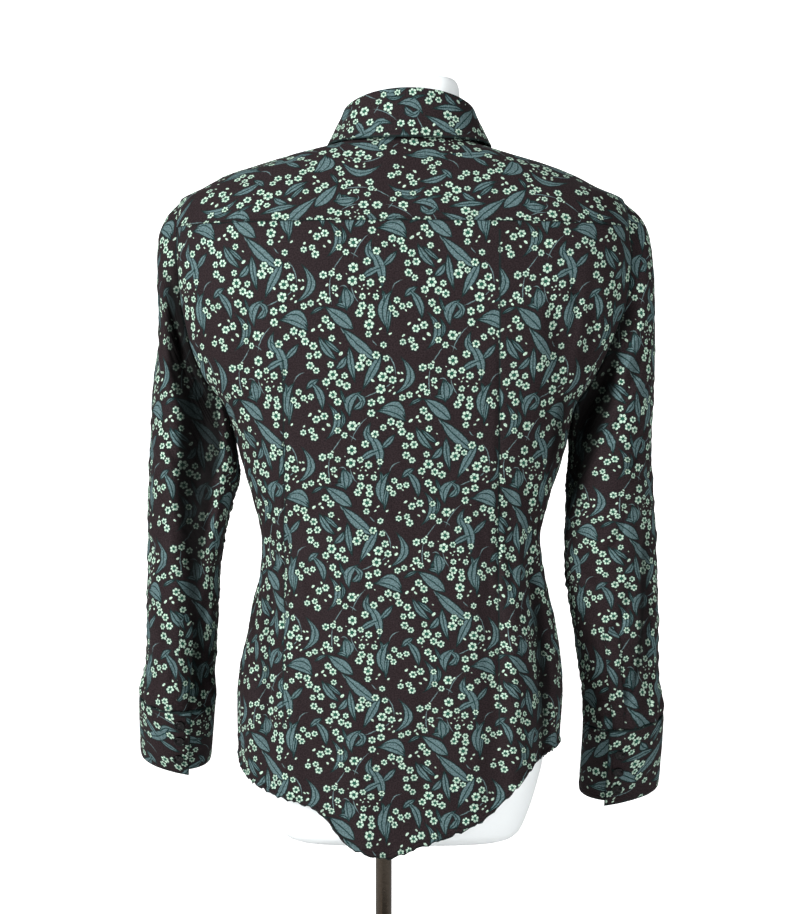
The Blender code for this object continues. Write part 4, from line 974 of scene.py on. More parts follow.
def creased(points, angle):
    """Body points with their creases, and with the small wrinkles of washed cloth."""
    sine = np.sin(np.radians(angle))
    top, _, first, last = edge_distances(points)
    free = calm(np.minimum(np.minimum(first, last), top))
    moved = folded(points, sine, BACK_CREASES, free)
    across, up = flat_cut(points)
    sides = 1 - np.abs(sine)
    waist = bump(np.abs(points[..., 2] - WAIST_AT), WAIST_REACH)
    strength = (WRINKLE_DEPTH + SIDE_WRINKLE_DEPTH * sides + WAIST_WRINKLE_DEPTH * waist) * free
    wrinkle = crumple(across, up * BODY_WRINKLE_SQUASH, **BODY_WRINKLES) * strength
    return moved + outward(points) * wrinkle[..., None]


def away_from(surface_distance):
    """The seam map's value for a piece that has only topstitched edges."""
    return stacked(np.full(surface_distance.shape, FAR_AWAY), surface_distance)


def turned_edge(distance):
    """Distances whose line of stitches lies close to an edge that is turned under."""
    return distance + TOPSTITCH_INSET - EDGE_STITCH_INSET


def nearest(*distances):
    """The smallest of several distances at each place."""
    return np.minimum.reduce(distances)


def sew_cloth(name, mesh, node, stiff=False):
    """A piece of the printed cloth, in place of its solid."""
    thickness = sizes().stiff_cloth if stiff else sizes().cloth
    return sew_in(name, mesh, cloth_finishes(), [node], thickness)


def make_back():
    """The back, whose print is broken at its two darts."""
    angle, height = body_grid()
    points = creased(body_point(angle, height), angle)
    top, hem, first, last = edge_distances(points)
    across, up = flat_cut(points)
    across = across * np.interp(points[..., 2], *WAIST_EASE) + PRINT_AT["back"][0]
    up = up + PRINT_LIFT.at(points[..., 2], "lift") + PRINT_AT["back"][1]
    side = np.sign(np.linspace(-1, 1, points.shape[1]))
    takes = (DART_TAKE.at(points[..., 2], name) for name in ("right", "left"))
    intake = np.where(side > 0, *takes)
    column = np.arange(points.shape[1])
    left, right = (round(mark * BACK_GRID[1]) for mark in DART_MARKS[1:3])
    before = stacked(across + side * intake * ((column <= left) | (column > right)), up)
    after = stacked(across + side * intake * ((column < left) | (column >= right)), up)
    darts = np.minimum(np.abs(column - left), np.abs(column - right)) * first[:, -1:] / len(column)
    darts = np.where(intake > 0, darts, FAR_AWAY)
    seam = stacked(nearest(first, last, top, darts), hem)
    points = rolled(points, outward(points), hem, across)
    # Painted shade: how deep the back lies in its folds and creases, and in the deep shade beside the
    # sleeves.
    depth = painted_shade_depth(points, np.sin(np.radians(angle)), BODY_FOLDS, BACK_CREASES, PAINTED_DEEP_SHADE["body"])
    mesh = cloth_from(points, (before, after), seam, depth=depth)
    piece = sew_cloth("back_panel", mesh, "back")


def make_front(side):
    """One front, from its edge under the button band to the side seam."""
    angle, height = front_grid(side)
    points = creased(body_point(angle, height), angle)
    top, hem, _, outer = edge_distances(points)
    across, up = flat_cut(points, centre=0)
    across = across * -SIDES[side]
    points = rolled(points, outward(points), hem, across)
    seam = stacked(np.minimum(outer, top), hem)
    # Painted shade: how deep the front lies in its folds and creases.
    depth = painted_shade_depth(points, np.sin(np.radians(angle)), BODY_FOLDS, BACK_CREASES)
    mesh = cloth_from(points, stacked(across, up) + PRINT_AT[f"front_{side}"], seam, depth=depth)
    piece = sew_cloth(f"front_{side}_panel", mesh, f"front_{side}")


def rising_over(height):
    """The yoke's heights, counted on upwards where it comes down in front of the shoulders."""
    column = np.arange(height.shape[1])
    half = len(column) // 2
    left, right = height[:, :half], height[:, half:]
    crest = np.where(column < half, left.max(1)[:, None], right.max(1)[:, None])
    ahead = (column < left.argmax(1)[:, None]) | (column > half + right.argmax(1)[:, None])
    return np.where(ahead, 2 * crest - height, height)


def make_yoke():
    """The yoke, cut across the grain, with its back edge turned and stitched over the back."""
    angle, height = yoke_grid()
    points = body_point(angle, height)
    normal = outward(points, np.array(CHEST_MIDDLE))
    outer, _, first, last = edge_distances(points)
    lift = YOKE_LIFT * np.minimum(1, np.exp(-outer / YOKE_LIFT_OVER) + YOKE_LIFT_REST)
    points = points + normal * lift[..., None]
    wrinkle = crumple(points[..., 0], points[..., 2] * YOKE_WRINKLE_SQUASH, **YOKE_WRINKLES)
    points = points + normal * (wrinkle * YOKE_WRINKLE_DEPTH)[..., None]
    wide, back, rise = YOKE_SLOPE
    up = rising_over(points[..., 2]) * rise - points[..., 1] * back
    sideways = points[..., 0] * -wide
    seam = stacked(np.minimum(first, last), turned_edge(outer))
    mesh = cloth_from(points, stacked(-up, sideways) + PRINT_AT["yoke"], seam)
    piece = sew_cloth("yoke_panel", mesh, "yoke")


def flat_sleeve(smooth, side):
    """The flat cut of a sleeve, from its surface without folds."""
    across = arc_lengths(smooth, (0, 1))
    behind = SLEEVE_GRID[1] * 3 // 4
    across = across - across[:, behind][:, None] - np.abs(smooth[:, behind, 0])[:, None]
    up = np.interp(smooth[..., 2], *SLEEVE_EASE[side])
    return across, up


def make_sleeve(side):
    """One sleeve, a tube that is gathered a little into its cuff."""
    along, round_share = grid_of(*SLEEVE_GRID)
    along = SLEEVE_START + (1 - SLEEVE_START) * (0.55 * along + 0.45 * along**1.6)
    angle = 360 * round_share + SLEEVE_SEAM_ANGLE
    points = sleeve_surface(side)(angle, along)
    core = np.broadcast_to(points[:, :-1].mean(1, keepdims=True), points.shape)
    normal = outward(points, core)
    down = arc_lengths(np.swapaxes(points, 0, 1)).T.mean(1, keepdims=True) + 0 * along
    above_cuff = down[-1:] - down
    across, up = flat_sleeve(sleeve_surface(side, folds=False)(angle, along), side)

    from_placket = np.abs((angle - CUFF_BUTTON_ANGLE) % 360 - PLACKET_SHIFT)
    beside = bump(np.maximum(0, from_placket - PLACKET_ANGLE / 2), PLACKET_CALM_ANGLE)
    loose = 1 - beside * np.clip((along - PLACKET_CALM_FROM) / PLACKET_CALM_OVER, 0, 1)
    wrinkle = crumple(across * SLEEVE_WRINKLE_SQUASH, down,
                      SLEEVE_WRINKLE_SIZE, SLEEVE_WRINKLE_SEEDS[side])
    busy = np.clip((along - SLEEVE_BUSY_FROM) / SLEEVE_BUSY_OVER, 0, 1)
    least, more = SLEEVE_WRINKLE_DEPTHS
    free = calm(np.minimum(down, above_cuff))
    points = points + normal * (wrinkle * loose * free * (least + more * busy))[..., None]

    turn = np.radians(angle)
    gathers = 1 + GATHER_DEPTH * np.sin(turn * GATHERS + 2 * np.sin(turn))
    full = CUFF_FULLNESS * bump(np.abs(above_cuff - CUFF_FULL_AT), CUFF_FULL_REACH) * gathers * loose
    points = points + normal * full[..., None]
    points[:, -1] = points[:, 0]

    flat = stacked(across * SIDES[side], up) + PRINT_AT[f"sleeve_{side}"]
    seam = stacked(np.minimum(down, above_cuff), np.full(down.shape, FAR_AWAY))
    # Painted shade: how deep the sleeve lies in its folds and creases, and beside the body.
    depth = painted_shade_depth(points, np.sin(turn), SLEEVE_FOLDS[side], SLEEVE_CREASES[side], PAINTED_DEEP_SHADE[side])
    mesh = cloth_from(points, flat, seam, closed=True, inside=core[:, 0], depth=depth)
    piece = sew_cloth(f"sleeve_{side}_tube", mesh, f"sleeve_{side}")


def make_sleeve_placket(side):
    """The narrow strip over a sleeve's slit, pointed at its upper end."""
    along, across = grid_of(*PLACKET_GRID)
    along = PLACKET_FROM + (PLACKET_TO - PLACKET_FROM) * along
    point = np.clip((along - PLACKET_FROM) / PLACKET_POINT_OVER, PLACKET_POINT_WIDTH, 1)
    angle = CUFF_BUTTON_ANGLE + PLACKET_SHIFT + (across - 0.5) * PLACKET_ANGLE * point
    points = moved_out(sleeve_surface(side), angle, along, PLACKET_LIFT + 0 * along, sleeve_facing(side))
    top, _, first, last = edge_distances(points)
    flat = stacked(first * SIDES[side], -top) + PRINT_AT["placket"]
    core = points.mean((0, 1)) - (0, 0.1, 0)
    mesh = cloth_from(points, flat, away_from(turned_edge(nearest(first, last, top))),
                      inside=np.broadcast_to(core, points[:, 0].shape))
    piece = sew_cloth(f"placket_{side}_strip", mesh, f"sleeve_placket_{side}")


def make_cuff(side):
    """One cuff, stiff and cut across the grain, which laps over its own start."""
    along, share = grid_of(*CUFF_GRID)
    along = CUFF_START + (CUFF_END - CUFF_START) * along
    angle = CUFF_OVERLAP_FROM + (360 + CUFF_OVERLAP_TO - CUFF_OVERLAP_FROM) * share
    points = cuff_point(side, angle, along, STIFF_CLOTH + 0 * along)
    top, bottom, first, last = edge_distances(points)
    edge = nearest(first, last, top, bottom)
    normal = outward(points, points.mean((0, 1)))
    puff = CUFF_PUFF * np.minimum(1, edge / CUFF_PUFF_OVER)
    puff = puff + STIFF_WRINKLE_DEPTH * crumple(first, top, **CUFF_WRINKLES)
    points = points + normal * puff[..., None]
    flat = stacked(top, first * SIDES[side]) + PRINT_AT[f"cuff_{side}"]
    mesh = cloth_from(points, flat, away_from(edge), inside=points.mean(1))
    piece = sew_cloth(f"cuff_{side}_band", mesh, f"cuff_{side}", stiff=True)


def make_collar_stand():
    """The stand, which laps at the front."""
    along, share = grid_of(*STAND_GRID)
    along = STAND_FROM + (STAND_TO - STAND_FROM) * along
    angle = -90 - STAND_LAP + (360 + 2 * STAND_LAP) * share
    points = moved_out(collar_point, angle, along, STIFF_WRAP * (1 - share))
    foot, top, first, _ = edge_distances(points)
    flat = stacked(-foot, -first) + PRINT_AT["collar_stand"]
    mesh = cloth_from(points, flat, away_from(np.minimum(foot, top)), inside=points.mean(1))
    stand = sew_cloth("collar_stand_band", mesh, "collar_stand", stiff=True)


def make_collar_fall():
    """The fall, which turns over the stand and comes down to its two points."""
    down, share = grid_of(*FALL_GRID)
    along = FALL_FROM + (FALL_TO - FALL_FROM) * (0.62 * down + 0.38 * down**1.7)
    reach = np.maximum(0, along - FALL_ROLL) / (FALL_TO - FALL_ROLL)
    end = FALL_END_TOP + (FALL_END_POINT - FALL_END_TOP) * reach
    angle = (-90 + end) + (360 - 2 * end) * share
    points = moved_out(collar_point, angle, along, STIFF_CLOTH + 0 * along)
    top, edge, first, last = edge_distances(points)
    normal = outward(points, np.array(NECK_MIDDLE))
    soft = FALL_WRINKLE_DEPTH * crumple(first, top, **FALL_WRINKLES)
    points = points + normal * (soft * np.clip(top / FALL_WRINKLES_FROM, 0, 1))[..., None]
    middle = first.shape[1] // 2
    flat = stacked(top, first - first[:, middle : middle + 1]) + PRINT_AT["collar_fall"]
    mesh = cloth_from(points, flat, away_from(nearest(edge, first, last)), inside=points.mean(1))
    fall = sew_cloth("collar_fall_leaf", mesh, "collar_fall", stiff=True)


def band_point(across, height, out):
    """Points of the button band, which lies over the two fronts' edges."""
    return moved_out(body_point, front_angle(across, height), height, out + 0 * height)


def make_band():
    """The button band down the middle of the front."""
    down, share = grid_of(*BAND_GRID)
    across = BAND_WIDTH * (share - 0.5)
    top_height = NECK_HEIGHT - BAND_TOP_GAP
    height = top_height + 0 * down
    for _ in range(2):
        foot = hem_line(front_angle(across, height))
        height = top_height + (foot - NECK_HEIGHT) * down
    points = band_point(across, height, BAND_LIFT + STIFF_CLOTH)
    top, hem, first, last = edge_distances(points)
    wrinkle = STIFF_WRINKLE_DEPTH * crumple(across, top, **BAND_WRINKLES)
    points = points + outward(points) * wrinkle[..., None]
    flat = stacked(first, -top) + PRINT_AT["band"]
    mesh = cloth_from(points, flat, away_from(nearest(first, last, hem)))
    piece = sew_cloth("button_band_strip", mesh, "button_band", stiff=True)


def seat(mesh, centre, normal):
    """Moves a bmesh made on its own axis to its place, with its axis along a normal."""
    turn = Vector(normal).to_track_quat("Z", "Y").to_matrix().to_4x4()
    bmesh.ops.transform(mesh, matrix=Matrix.Translation(Vector(centre)) @ turn, verts=mesh.verts)


def spun(mesh, profile, sides):
    """Makes a turned shape, from a profile of (radius, height), about the Z axis."""
    points = [bmesh.ops.create_vert(mesh, co=(radius, 0, height))["vert"][0]
              for radius, height in profile]
    edges = [bmesh.ops.contextual_create(mesh, geom=pair)["edges"][0]
             for pair in zip(points, points[1:])]
    bmesh.ops.spin(mesh, geom=points + edges, cent=(0, 0, 0), axis=(0, 0, 1),
                   angle=2 * math.pi, steps=sides, use_merge=True)
    bmesh.ops.remove_doubles(mesh, verts=mesh.verts, dist=SAME_POINT)
    bmesh.ops.recalc_face_normals(mesh, faces=mesh.faces)


def place_of(name, surface):
    """A button's name, seat and direction, from a function of how far out a point lies."""
    seat_at, above = (surface(out)[0] for out in (LAYER_GAP, BUTTON_SIGHT))
    return name, seat_at, above - seat_at


def button_places():
    """Each button's name, centre and direction."""
    one = np.ones(1)
    lift = BAND_LIFT + STIFF_CLOTH
    for i in range(BAND_BUTTONS):
        height = (BAND_BUTTON_TOP - BAND_BUTTON_PITCH * i) * one
        yield place_of(f"band_button_{i + 1}", lambda out: band_point(0 * one, height, lift + out))
    yield place_of("collar_button", lambda out: moved_out(collar_point, 270 * one, 0.5 * one,
                                                          (STIFF_WRAP + out) * one))
    for side, rows in CUFF_BUTTONS.items():
        for i, along in enumerate(rows):
            place = (side, (360 + CUFF_BUTTON_ANGLE) * one, along * one)
            yield place_of(f"cuff_button_{side}_{i + 1}",
                           lambda out: cuff_point(*place, (STIFF_CLOTH + out) * one))


def add_thread(mesh, radius, thick):
    """A cross of thread over a button's middle, in the second material."""
    long, wide, high = BUTTON_THREAD
    for turn in (math.pi / 4, 3 * math.pi / 4):
        bar = bmesh.ops.create_cube(mesh, size=1)["verts"]
        size = Matrix.Diagonal((radius * long, radius * wide, thick * high, 1))
        lifted = Matrix.Translation((0, 0, thick * BUTTON_THREAD_AT))
        bmesh.ops.transform(mesh, matrix=lifted @ Matrix.Rotation(turn, 4, "Z") @ size, verts=bar)
        edges = list(dict.fromkeys(edge for vert in bar for edge in vert.link_edges))
        bmesh.ops.bevel(mesh, geom=edges, offset=radius * BUTTON_THREAD_EDGE,
                        segments=2, profile=0.5, affect="EDGES", material=-1)
    for face in mesh.faces:
        middle = face.calc_center_median()
        near = math.hypot(middle.x, middle.y) < radius * BUTTON_THREAD_REACH
        if near and middle.z > thick * BUTTON_THREAD_FROM:
            face.material_index = 1


def make_buttons():
    """Glossy buttons with a raised rim, sewn on with a cross of thread."""
    radius, thick = sizes().button_radius, BUTTON_THICK
    profile = [(r * radius, h * thick) for r, h in BUTTON_PROFILE]
    finishes = [button_finish(), thread_finish()]
    for node, centre, normal in button_places():
        mesh = bmesh.new()
        spun(mesh, profile, BUTTON_SIDES)
        add_thread(mesh, radius, thick)
        seat(mesh, centre, normal)
        sew_in(f"sewn_{node}", mesh, finishes, [node])


def make_form():
    """The smooth form, closed at the neck and below."""
    rows, around = grid_of(*FORM_GRID)
    heights = np.interp(rows, FORM_ROW_SHARES, FORM_ROW_HEIGHTS)
    angle = 360 * around
    points = section(FORM, angle, heights, heights, FORM.at(heights, "shift"))
    points[:, -1] = points[:, 0]
    nothing = np.zeros((*points.shape[:2], 2))
    mesh = cloth_from(points, nothing, nothing, closed=True, inside=points[:, :-1].mean(1))
    rims = [edge for edge in mesh.edges if edge.is_boundary]
    bmesh.ops.holes_fill(mesh, edges=rims, sides=0)
    bmesh.ops.recalc_face_normals(mesh, faces=mesh.faces)
    sew_in("form_body", mesh, [form_finish()], ["form_torso"])


def make_stand():
    """The pole with its ferrule under the form, and the round base with its boss."""
    top, foot = FORM_BOTTOM - LAYER_GAP, BASE_THICK + BOSS_HEIGHT + LAYER_GAP
    pole = bmesh.new()
    rod, edge = POLE_RADIUS, POLE_EDGE
    profile = [(0, foot), (rod - edge, foot), (rod, foot + edge), (rod, top - FERRULE_HEIGHT),
               (rod + edge, top - FERRULE_HEIGHT + edge), (rod + edge, top - edge), (rod, top), (0, top)]
    spun(pole, profile, RING_SIDES)
    bmesh.ops.translate(pole, verts=pole.verts, vec=(STAND_OFFSET, 0, 0))
    sew_in("polished_pole", pole, [steel_finish()], ["stand_pole"])
    base = bmesh.new()
    spun(base, BASE_PROFILE, 2 * RING_SIDES)
    bmesh.ops.translate(base, verts=base.verts, vec=(STAND_OFFSET, 0, 0))
    sew_in("polished_base", base, [steel_finish()], ["stand_base"])


def make_stage():
    """A seamless white sweep of paper: a floor that curves up into a backdrop."""
    mesh = bmesh.new()
    bmesh.ops.create_grid(mesh, x_segments=1, y_segments=SWEEP_ROWS, size=STAGE_SIZE)
    for vert in mesh.verts:
        share = (STAGE_SIZE - vert.co.y) / (2 * STAGE_SIZE)
        run = share * SWEEP_LENGTH
        turn = min(max((run - SWEEP_FLOOR) / SWEEP_RADIUS, 0.0), math.pi / 2)
        rise = max(run - SWEEP_FLOOR - SWEEP_RADIUS * math.pi / 2, 0.0)
        floor = min(run, SWEEP_FLOOR)
        vert.co.y = SWEEP_START - floor - SWEEP_RADIUS * math.sin(turn)
        vert.co.z = SWEEP_RADIUS * (1 - math.cos(turn)) + rise
    data = bpy.data.meshes.new("paper_sweep")
    mesh.to_mesh(data)
    mesh.free()
    data.shade_smooth()
    data.materials.append(paper_finish())
    sweep = bpy.data.objects.new("paper_sweep", data)
    bpy.context.scene.collection.objects.link(sweep)
    world = bpy.data.worlds.new("studio_white")
    bpy.context.scene.world = world
    world.use_nodes = True
    surround = next(node for node in world.node_tree.nodes if node.type == "BACKGROUND")
    surround.inputs["Color"].default_value = (1, 1, 1, 1)
    surround.inputs["Strength"].default_value = SURROUND
    for name, place, size, power in LAMPS:
        data = bpy.data.lights.new(name, "AREA")
        data.shape = "RECTANGLE"
        data.size, data.size_y = size
        data.energy = power
        lamp = bpy.data.objects.new(name, data)
        lamp.location = place
        lamp.rotation_euler = (Vector(LOOK_AT) - Vector(place)).to_track_quat("-Z", "Y").to_euler()
        bpy.context.scene.collection.objects.link(lamp)
    data = bpy.data.cameras.new("photo_camera")
    data.sensor_fit = "VERTICAL"
    data.sensor_height = SENSOR_HEIGHT
    data.lens = LENS
    camera = bpy.data.objects.new("photo_camera", data)
    camera.location = CAMERA_AT
    camera.rotation_euler = (math.pi / 2, 0, math.pi)
    bpy.context.scene.collection.objects.link(camera)
    bpy.context.scene.camera = camera
    bpy.context.scene.view_settings.view_transform = "Standard"


class Recipe:
    """Adds nodes to a tree one by one and gives back each one's output."""

    def __init__(self, tree):
        self.tree = tree

    def place(self, kind, inputs, output=0, **settings):
        node = self.tree.nodes.new(kind)
        for name, value in settings.items():
            setattr(node, name, value)
        for key, value in inputs.items():
            if isinstance(value, bpy.types.NodeSocket):
                self.tree.links.new(value, node.inputs[key])
            else:
                node.inputs[key].default_value = value
        return node.outputs[output]

    def math(self, operation, *values):
        return self.place("ShaderNodeMath", dict(enumerate(values)), operation=operation)

    def vector(self, operation, *values, output=0):
        return self.place("ShaderNodeVectorMath", dict(enumerate(values)), output, operation=operation)

    def dot(self, a, b):
        return self.vector("DOT_PRODUCT", a, b, output="Value")

    def scaled(self, a, scale):
        return self.place("ShaderNodeVectorMath", {0: a, "Scale": scale}, operation="SCALE")

    def length(self, a):
        return self.vector("LENGTH", a, output="Value")

    def combined(self, x, y, z=0.0):
        return self.place("ShaderNodeCombineXYZ", {0: x, 1: y, 2: z})

    def chosen(self, factor, a, b, kind="FLOAT"):
        """a where the factor is 0 and b where it is 1."""
        slots = {"FLOAT": (2, 3, 0), "VECTOR": (4, 5, 1), "RGBA": (6, 7, 2)}[kind]
        inputs = {0: factor, slots[0]: a, slots[1]: b}
        return self.place("ShaderNodeMix", inputs, slots[2], data_type=kind)

    def soft_step(self, value, low, high):
        """0 below one value and 1 above another, and smooth between them."""
        inputs = {"Value": value, "From Min": low, "From Max": high}
        return self.place("ShaderNodeMapRange", inputs, interpolation_type="SMOOTHSTEP")

    def relief(self, height, strength, distance, below=None):
        """A bump over another one, if there is one below."""
        inputs = {"Height": height, "Strength": strength, "Distance": distance}
        if below is not None:
            inputs["Normal"] = below
        return self.place("ShaderNodeBump", inputs, "Normal")

    def noise(self, where, scale, detail=2.0, roughness=0.5, output="Fac"):
        inputs = {"Vector": where, "Scale": scale, "Detail": detail, "Roughness": roughness}
        return self.place("ShaderNodeTexNoise", inputs, output)


def shared_group(name, inputs, outputs, fill):
    """A shader node group with named inputs and outputs, built once."""
    group = bpy.data.node_groups.get(name)
    if group is None:
        group = bpy.data.node_groups.new(name, "ShaderNodeTree")
        for label, kind, value in inputs:
            socket = group.interface.new_socket(label, in_out="INPUT", socket_type=kind)
            if value is not None:
                socket.default_value = value
        for label, kind in outputs:
            group.interface.new_socket(label, in_out="OUTPUT", socket_type=kind)
        entry = group.nodes.new("NodeGroupInput")
        leave = group.nodes.new("NodeGroupOutput")
        results = fill(Recipe(group), entry.outputs)
        for label, result in results.items():
            group.links.new(result, leave.inputs[label])
    return group


# The print, as a chart. Places are in chart steps to the right and down, from a corner of the
# repeat, whose copies lie half a drop apart.
CHART_STEP = 0.00102  # metres
REPEAT_ACROSS = 98.5
REPEAT_DOWN = 92.5
LEAVES = (  # one end, the middle and the other end of its midrib, half width, and growth to the far end
    (51.1, 64.3, 49.8, 51, 61, 40, 4.5, 0), (55.6, 41.6, 62, 44.4, 61.8, 57.8, 2.6, 0),
    (54.8, 57.4, 59.2, 55, 62.6, 48.4, 2.6, 0), (48.2, 53.2, 44, 45.6, 41.6, 38, 1.1, 0),
    (78.8, 59.2, 93.5, 60.6, 106.6, 69.2, 3.8, 0.6), (82.4, 56.6, 95.4, 54, 106.6, 64.8, 4.6, 0.6),
    (125.2, 47.2, 138.8, 57.2, 151.6, 68.3, 6, 1.8), (122.6, 46.8, 116.6, 49.2, 110.7, 52.9, 1.5, 0),
    (143.6, 27.4, 144.2, 39, 145.8, 49.8, 3, 0.5), (144.8, 28.2, 149.8, 38.8, 147.6, 47.4, 3.3, 0.4),
    (135.6, 44.6, 140.6, 44.8, 145.2, 48, 1.9, 0),
    (140.2, 36.4, 139.6, 39.8, 138.8, 42.6, 0.9, 0), (102, 5.4, 110.7, 23.5, 96, 41.6, 4, 0),
    (71.4, 72, 68.4, 81.6, 74.8, 93.4, 3, 0), (68.8, 80.4, 79.8, 96.8, 82.4, 119.6, 4.5, 0),
    (96.5, 84, 90.4, 91.6, 83.6, 98.4, 2.7, 0), (82.8, 99.6, 72, 104, 62.1, 111, 3, 0),
    (142, 68.8, 158.3, 85.6, 176.2, 100, 5.4, 0.4), (81, 2.4, 72.8, 18, 64.2, 35.6, 4.3, -1),
    (49.6, -4.8, 51.2, 11, 54.9, 27.8, 3.1, -0.5), (30.5, 53.2, 39, 67.2, 29.4, 87.6, 3.4, 0),
    (42.4, 59.2, 45.2, 67.6, 41.4, 77.8, 1.5, 0), (190.4, 31.2, 181.4, 48.8, 184.6, 66, 4.3, 0.5),
    (189.4, 42.8, 187.6, 56, 186, 71, 2, 0),
    (181.6, 31.2, 183.2, 36.2, 182, 42.4, 1.5, 0), (6.9, 36.4, 12.3, 30.8, 18.4, 27.2, 2.7, 0),
    (11.8, 30.6, 20.8, 42.6, 23.4, 57, 3.5, 0.3), (118.2, 77, 124.4, 88.6, 134.4, 98.8, 3.2, 0),
    (123.6, 79.2, 130.4, 85.4, 138.8, 92.4, 2, 0), (46, 4, 42.8, 10.8, 36.4, 16.2, 3, 0),
)
STEMS = (  # one end, the middle and the other end
    (64, 45.8, 72, 42.4, 81, 37.8), (71, 64.2, 58.8, 78, 53.2, 93.4),
    (44.4, 86, 38.6, 94.6, 32.2, 104), (131, 12, 128.8, 29, 131.6, 46.4),
    (50.6, 84.4, 54.6, 86.4, 59, 90), (150.6, 24.6, 153.4, 35.6, 158.6, 43.4),
    (86, -0.6, 93.2, 10, 95.5, 25), (86.4, 35, 88.4, 33.4, 90.8, 31.2),
    (170.6, 78.8, 173, 82.4, 176.4, 85.4), (190.6, 32, 195, 22.8, 203, 19.6),
    (139.4, 67, 141.4, 70, 143.4, 73.4), (138.4, 27.2, 143.4, 25.8, 147.4, 29.6),
)
FLOWERS = {  # by radius: the flowers' places
    5.1: (
        (33.2, 22.3), (82.9, 24.3), (81.1, 36.8), (152.5, 7.5), (151.6, 20.9), (167.9, 64.1), (60, 13.6),
        (53.9, 74.6),
    ),
    4.1: (
        (17.9, 1.6), (10.4, 12.7), (26.6, 29.6), (39.9, 30.6), (47.3, 33.6), (33.6, 42.6), (38.6, 49.9),
        (62.5, 4.9), (76.4, 2.1), (89.6, 16.8), (92.9, 27.5), (72.3, 50.9), (81.8, 48), (72.5, 61.6),
        (25.4, 64.6), (17.4, 68), (15.9, 86.3), (122.5, 14.9), (169.6, 23), (166.1, 1.1),
        (122.5, 35), (161.4, 45.6), (158.2, 52.7), (170.4, 53.9), (124.6, 58.9), (129.9, 65.4),
        (92.5, 70.4), (101.1, 73), (103.9, 80.7), (112.1, 85.4), (77.1, 83.2),
    ),
    3.4: (
        (9.3, 2.9), (16.6, 17.9), (30.9, 11.8), (44.9, 23.2), (68.9, 9.9), (86.2, 5.4), (38.8, 65.1),
        (39.6, 79.4), (46.6, 84.4), (12.7, 79.4), (4.3, 81.4), (130.7, 13.4), (138.2, 17.1), (161.3, 17.7),
        (181.1, 19.6), (133.9, 28.2), (127.3, 40.1), (102.9, 45.7), (109.9, 42.9), (161.8, 36.4),
        (175, 36.6), (170.1, 47.1), (167.3, 73.6), (130.7, 77.5), (85, 76.3), (182.1, 84.3),
        (-1.2, 40), (-6.4, 48.2), (4, 46), (-2.4, 53.6), (11.2, 44.6),
    ),
}
BUDS = {  # by slant: places and half lengths
    "down": (
        (72.9, 28.2, 2), (25, 78.2, 1.8), (20.4, 59.3, 1.6), (30, 73.6, 2.4), (7.5, 50, 1.4),
        (132.9, 9.1, 1.6), (136.1, 35, 2.2), (132.5, 33, 1.2), (119.6, 43.9, 1.8), (98.6, 20.4, 1.6),
        (102.1, 20.4, 1.6), (158.9, 26.6, 1.2), (166.8, 28.9, 1.2), (155, 31.8, 1.3), (176.4, 31, 1.2),
        (121.1, 69.6, 1.9), (138.9, 82.5, 1.2), (94.6, 77.5, 1.4), (78.6, 66.4, 1), (145.5, 14, 0.9),
    ),
    "up": (
        (10.7, 63.2, 2.2), (90.4, 38.6, 1.6), (93.4, 35.4, 1.3), (94.8, 41.2, 1.7), (5, 75, 1.6),
        (126.4, 24.9, 1.8), (117.5, 40.1, 2), (101.8, 27.9, 2.3), (163, 25.4, 1.2), (161.4, 29.1, 1.2),
        (168.2, 33.9, 1.3), (179.3, 27.1, 1.2), (179.3, 68.4, 1.7), (176.4, 73, 1.5), (188.9, 73.2, 1.7),
        (118.6, 65.4, 2.2), (112, 69.3, 2.4), (41.2, 0.6, 2.6), (28, 36.6, 0.9), (60.4, 72.5, 1.8),
    ),
}
MIDRIB = 0.62
STEM_WIDTH = 0.62
BUD_SLANTS = {"down": (1.0, 1.7, 1.0), "up": (1.7, 1.0, 1.0)}
TURN_CODE = 0.0005  # a flower's turn rides along in its offset as this small third part
WIDE_WRAP = 9.0


def repeat_steps(x, y):
    """A chart place, as shares of the repeat's two half-drop steps."""
    across, down = x / (2 * REPEAT_ACROSS), y / (2 * REPEAT_DOWN)
    return across + down, across - down


def step_vector(x, y):
    """The row of numbers that turns an offset in repeat steps into its length along (x, y)."""
    return x * REPEAT_ACROSS + y * REPEAT_DOWN, x * REPEAT_ACROSS - y * REPEAT_DOWN, 0


def leaf_shape(recipe, place, leaf):
    """How far inside a leaf a place is, in chart steps, and how far from its midrib."""
    x1, y1, xm, ym, x2, y2, width, taper = leaf
    dx, dy = (x2 - x1) / 2, (y2 - y1) / 2
    half = math.hypot(dx, dy)
    bend = ((xm - (x1 + x2) / 2) * dy - (ym - (y1 + y2) / 2) * dx) / half
    offset = motif_offset(recipe, place, (x1 + x2) / 2, (y1 + y2) / 2)
    along = recipe.dot(offset, step_vector(dx / half**2, dy / half**2))
    across = recipe.dot(offset, step_vector(-dy / half, dx / half))
    round_off = recipe.math("SUBTRACT", 1.0, recipe.math("MULTIPLY", along, along))
    away = recipe.math("ABSOLUTE", recipe.math("MULTIPLY_ADD", round_off, bend, across))
    wide = width
    if taper:
        wide = recipe.math("MAXIMUM", recipe.math("MULTIPLY_ADD", along, taper, width), width / 4)
    inside = recipe.math("SUBTRACT", recipe.math("MULTIPLY", round_off, wide), away)
    return inside, away


def motif_offset(recipe, place, x, y, turn=0.0):
    """The offset to a place from the nearest copy of a motif, in repeat steps."""
    s, t = repeat_steps(x, y)
    offset = recipe.vector("SUBTRACT", place, (s, t, -turn))
    return recipe.vector("WRAP", offset, (0.5, 0.5, WIDE_WRAP), (-0.5, -0.5, -WIDE_WRAP))


def largest(recipe, values):
    """The largest of several values."""
    best = values[0]
    for value in values[1:]:
        best = recipe.math("MAXIMUM", best, value)
    return best


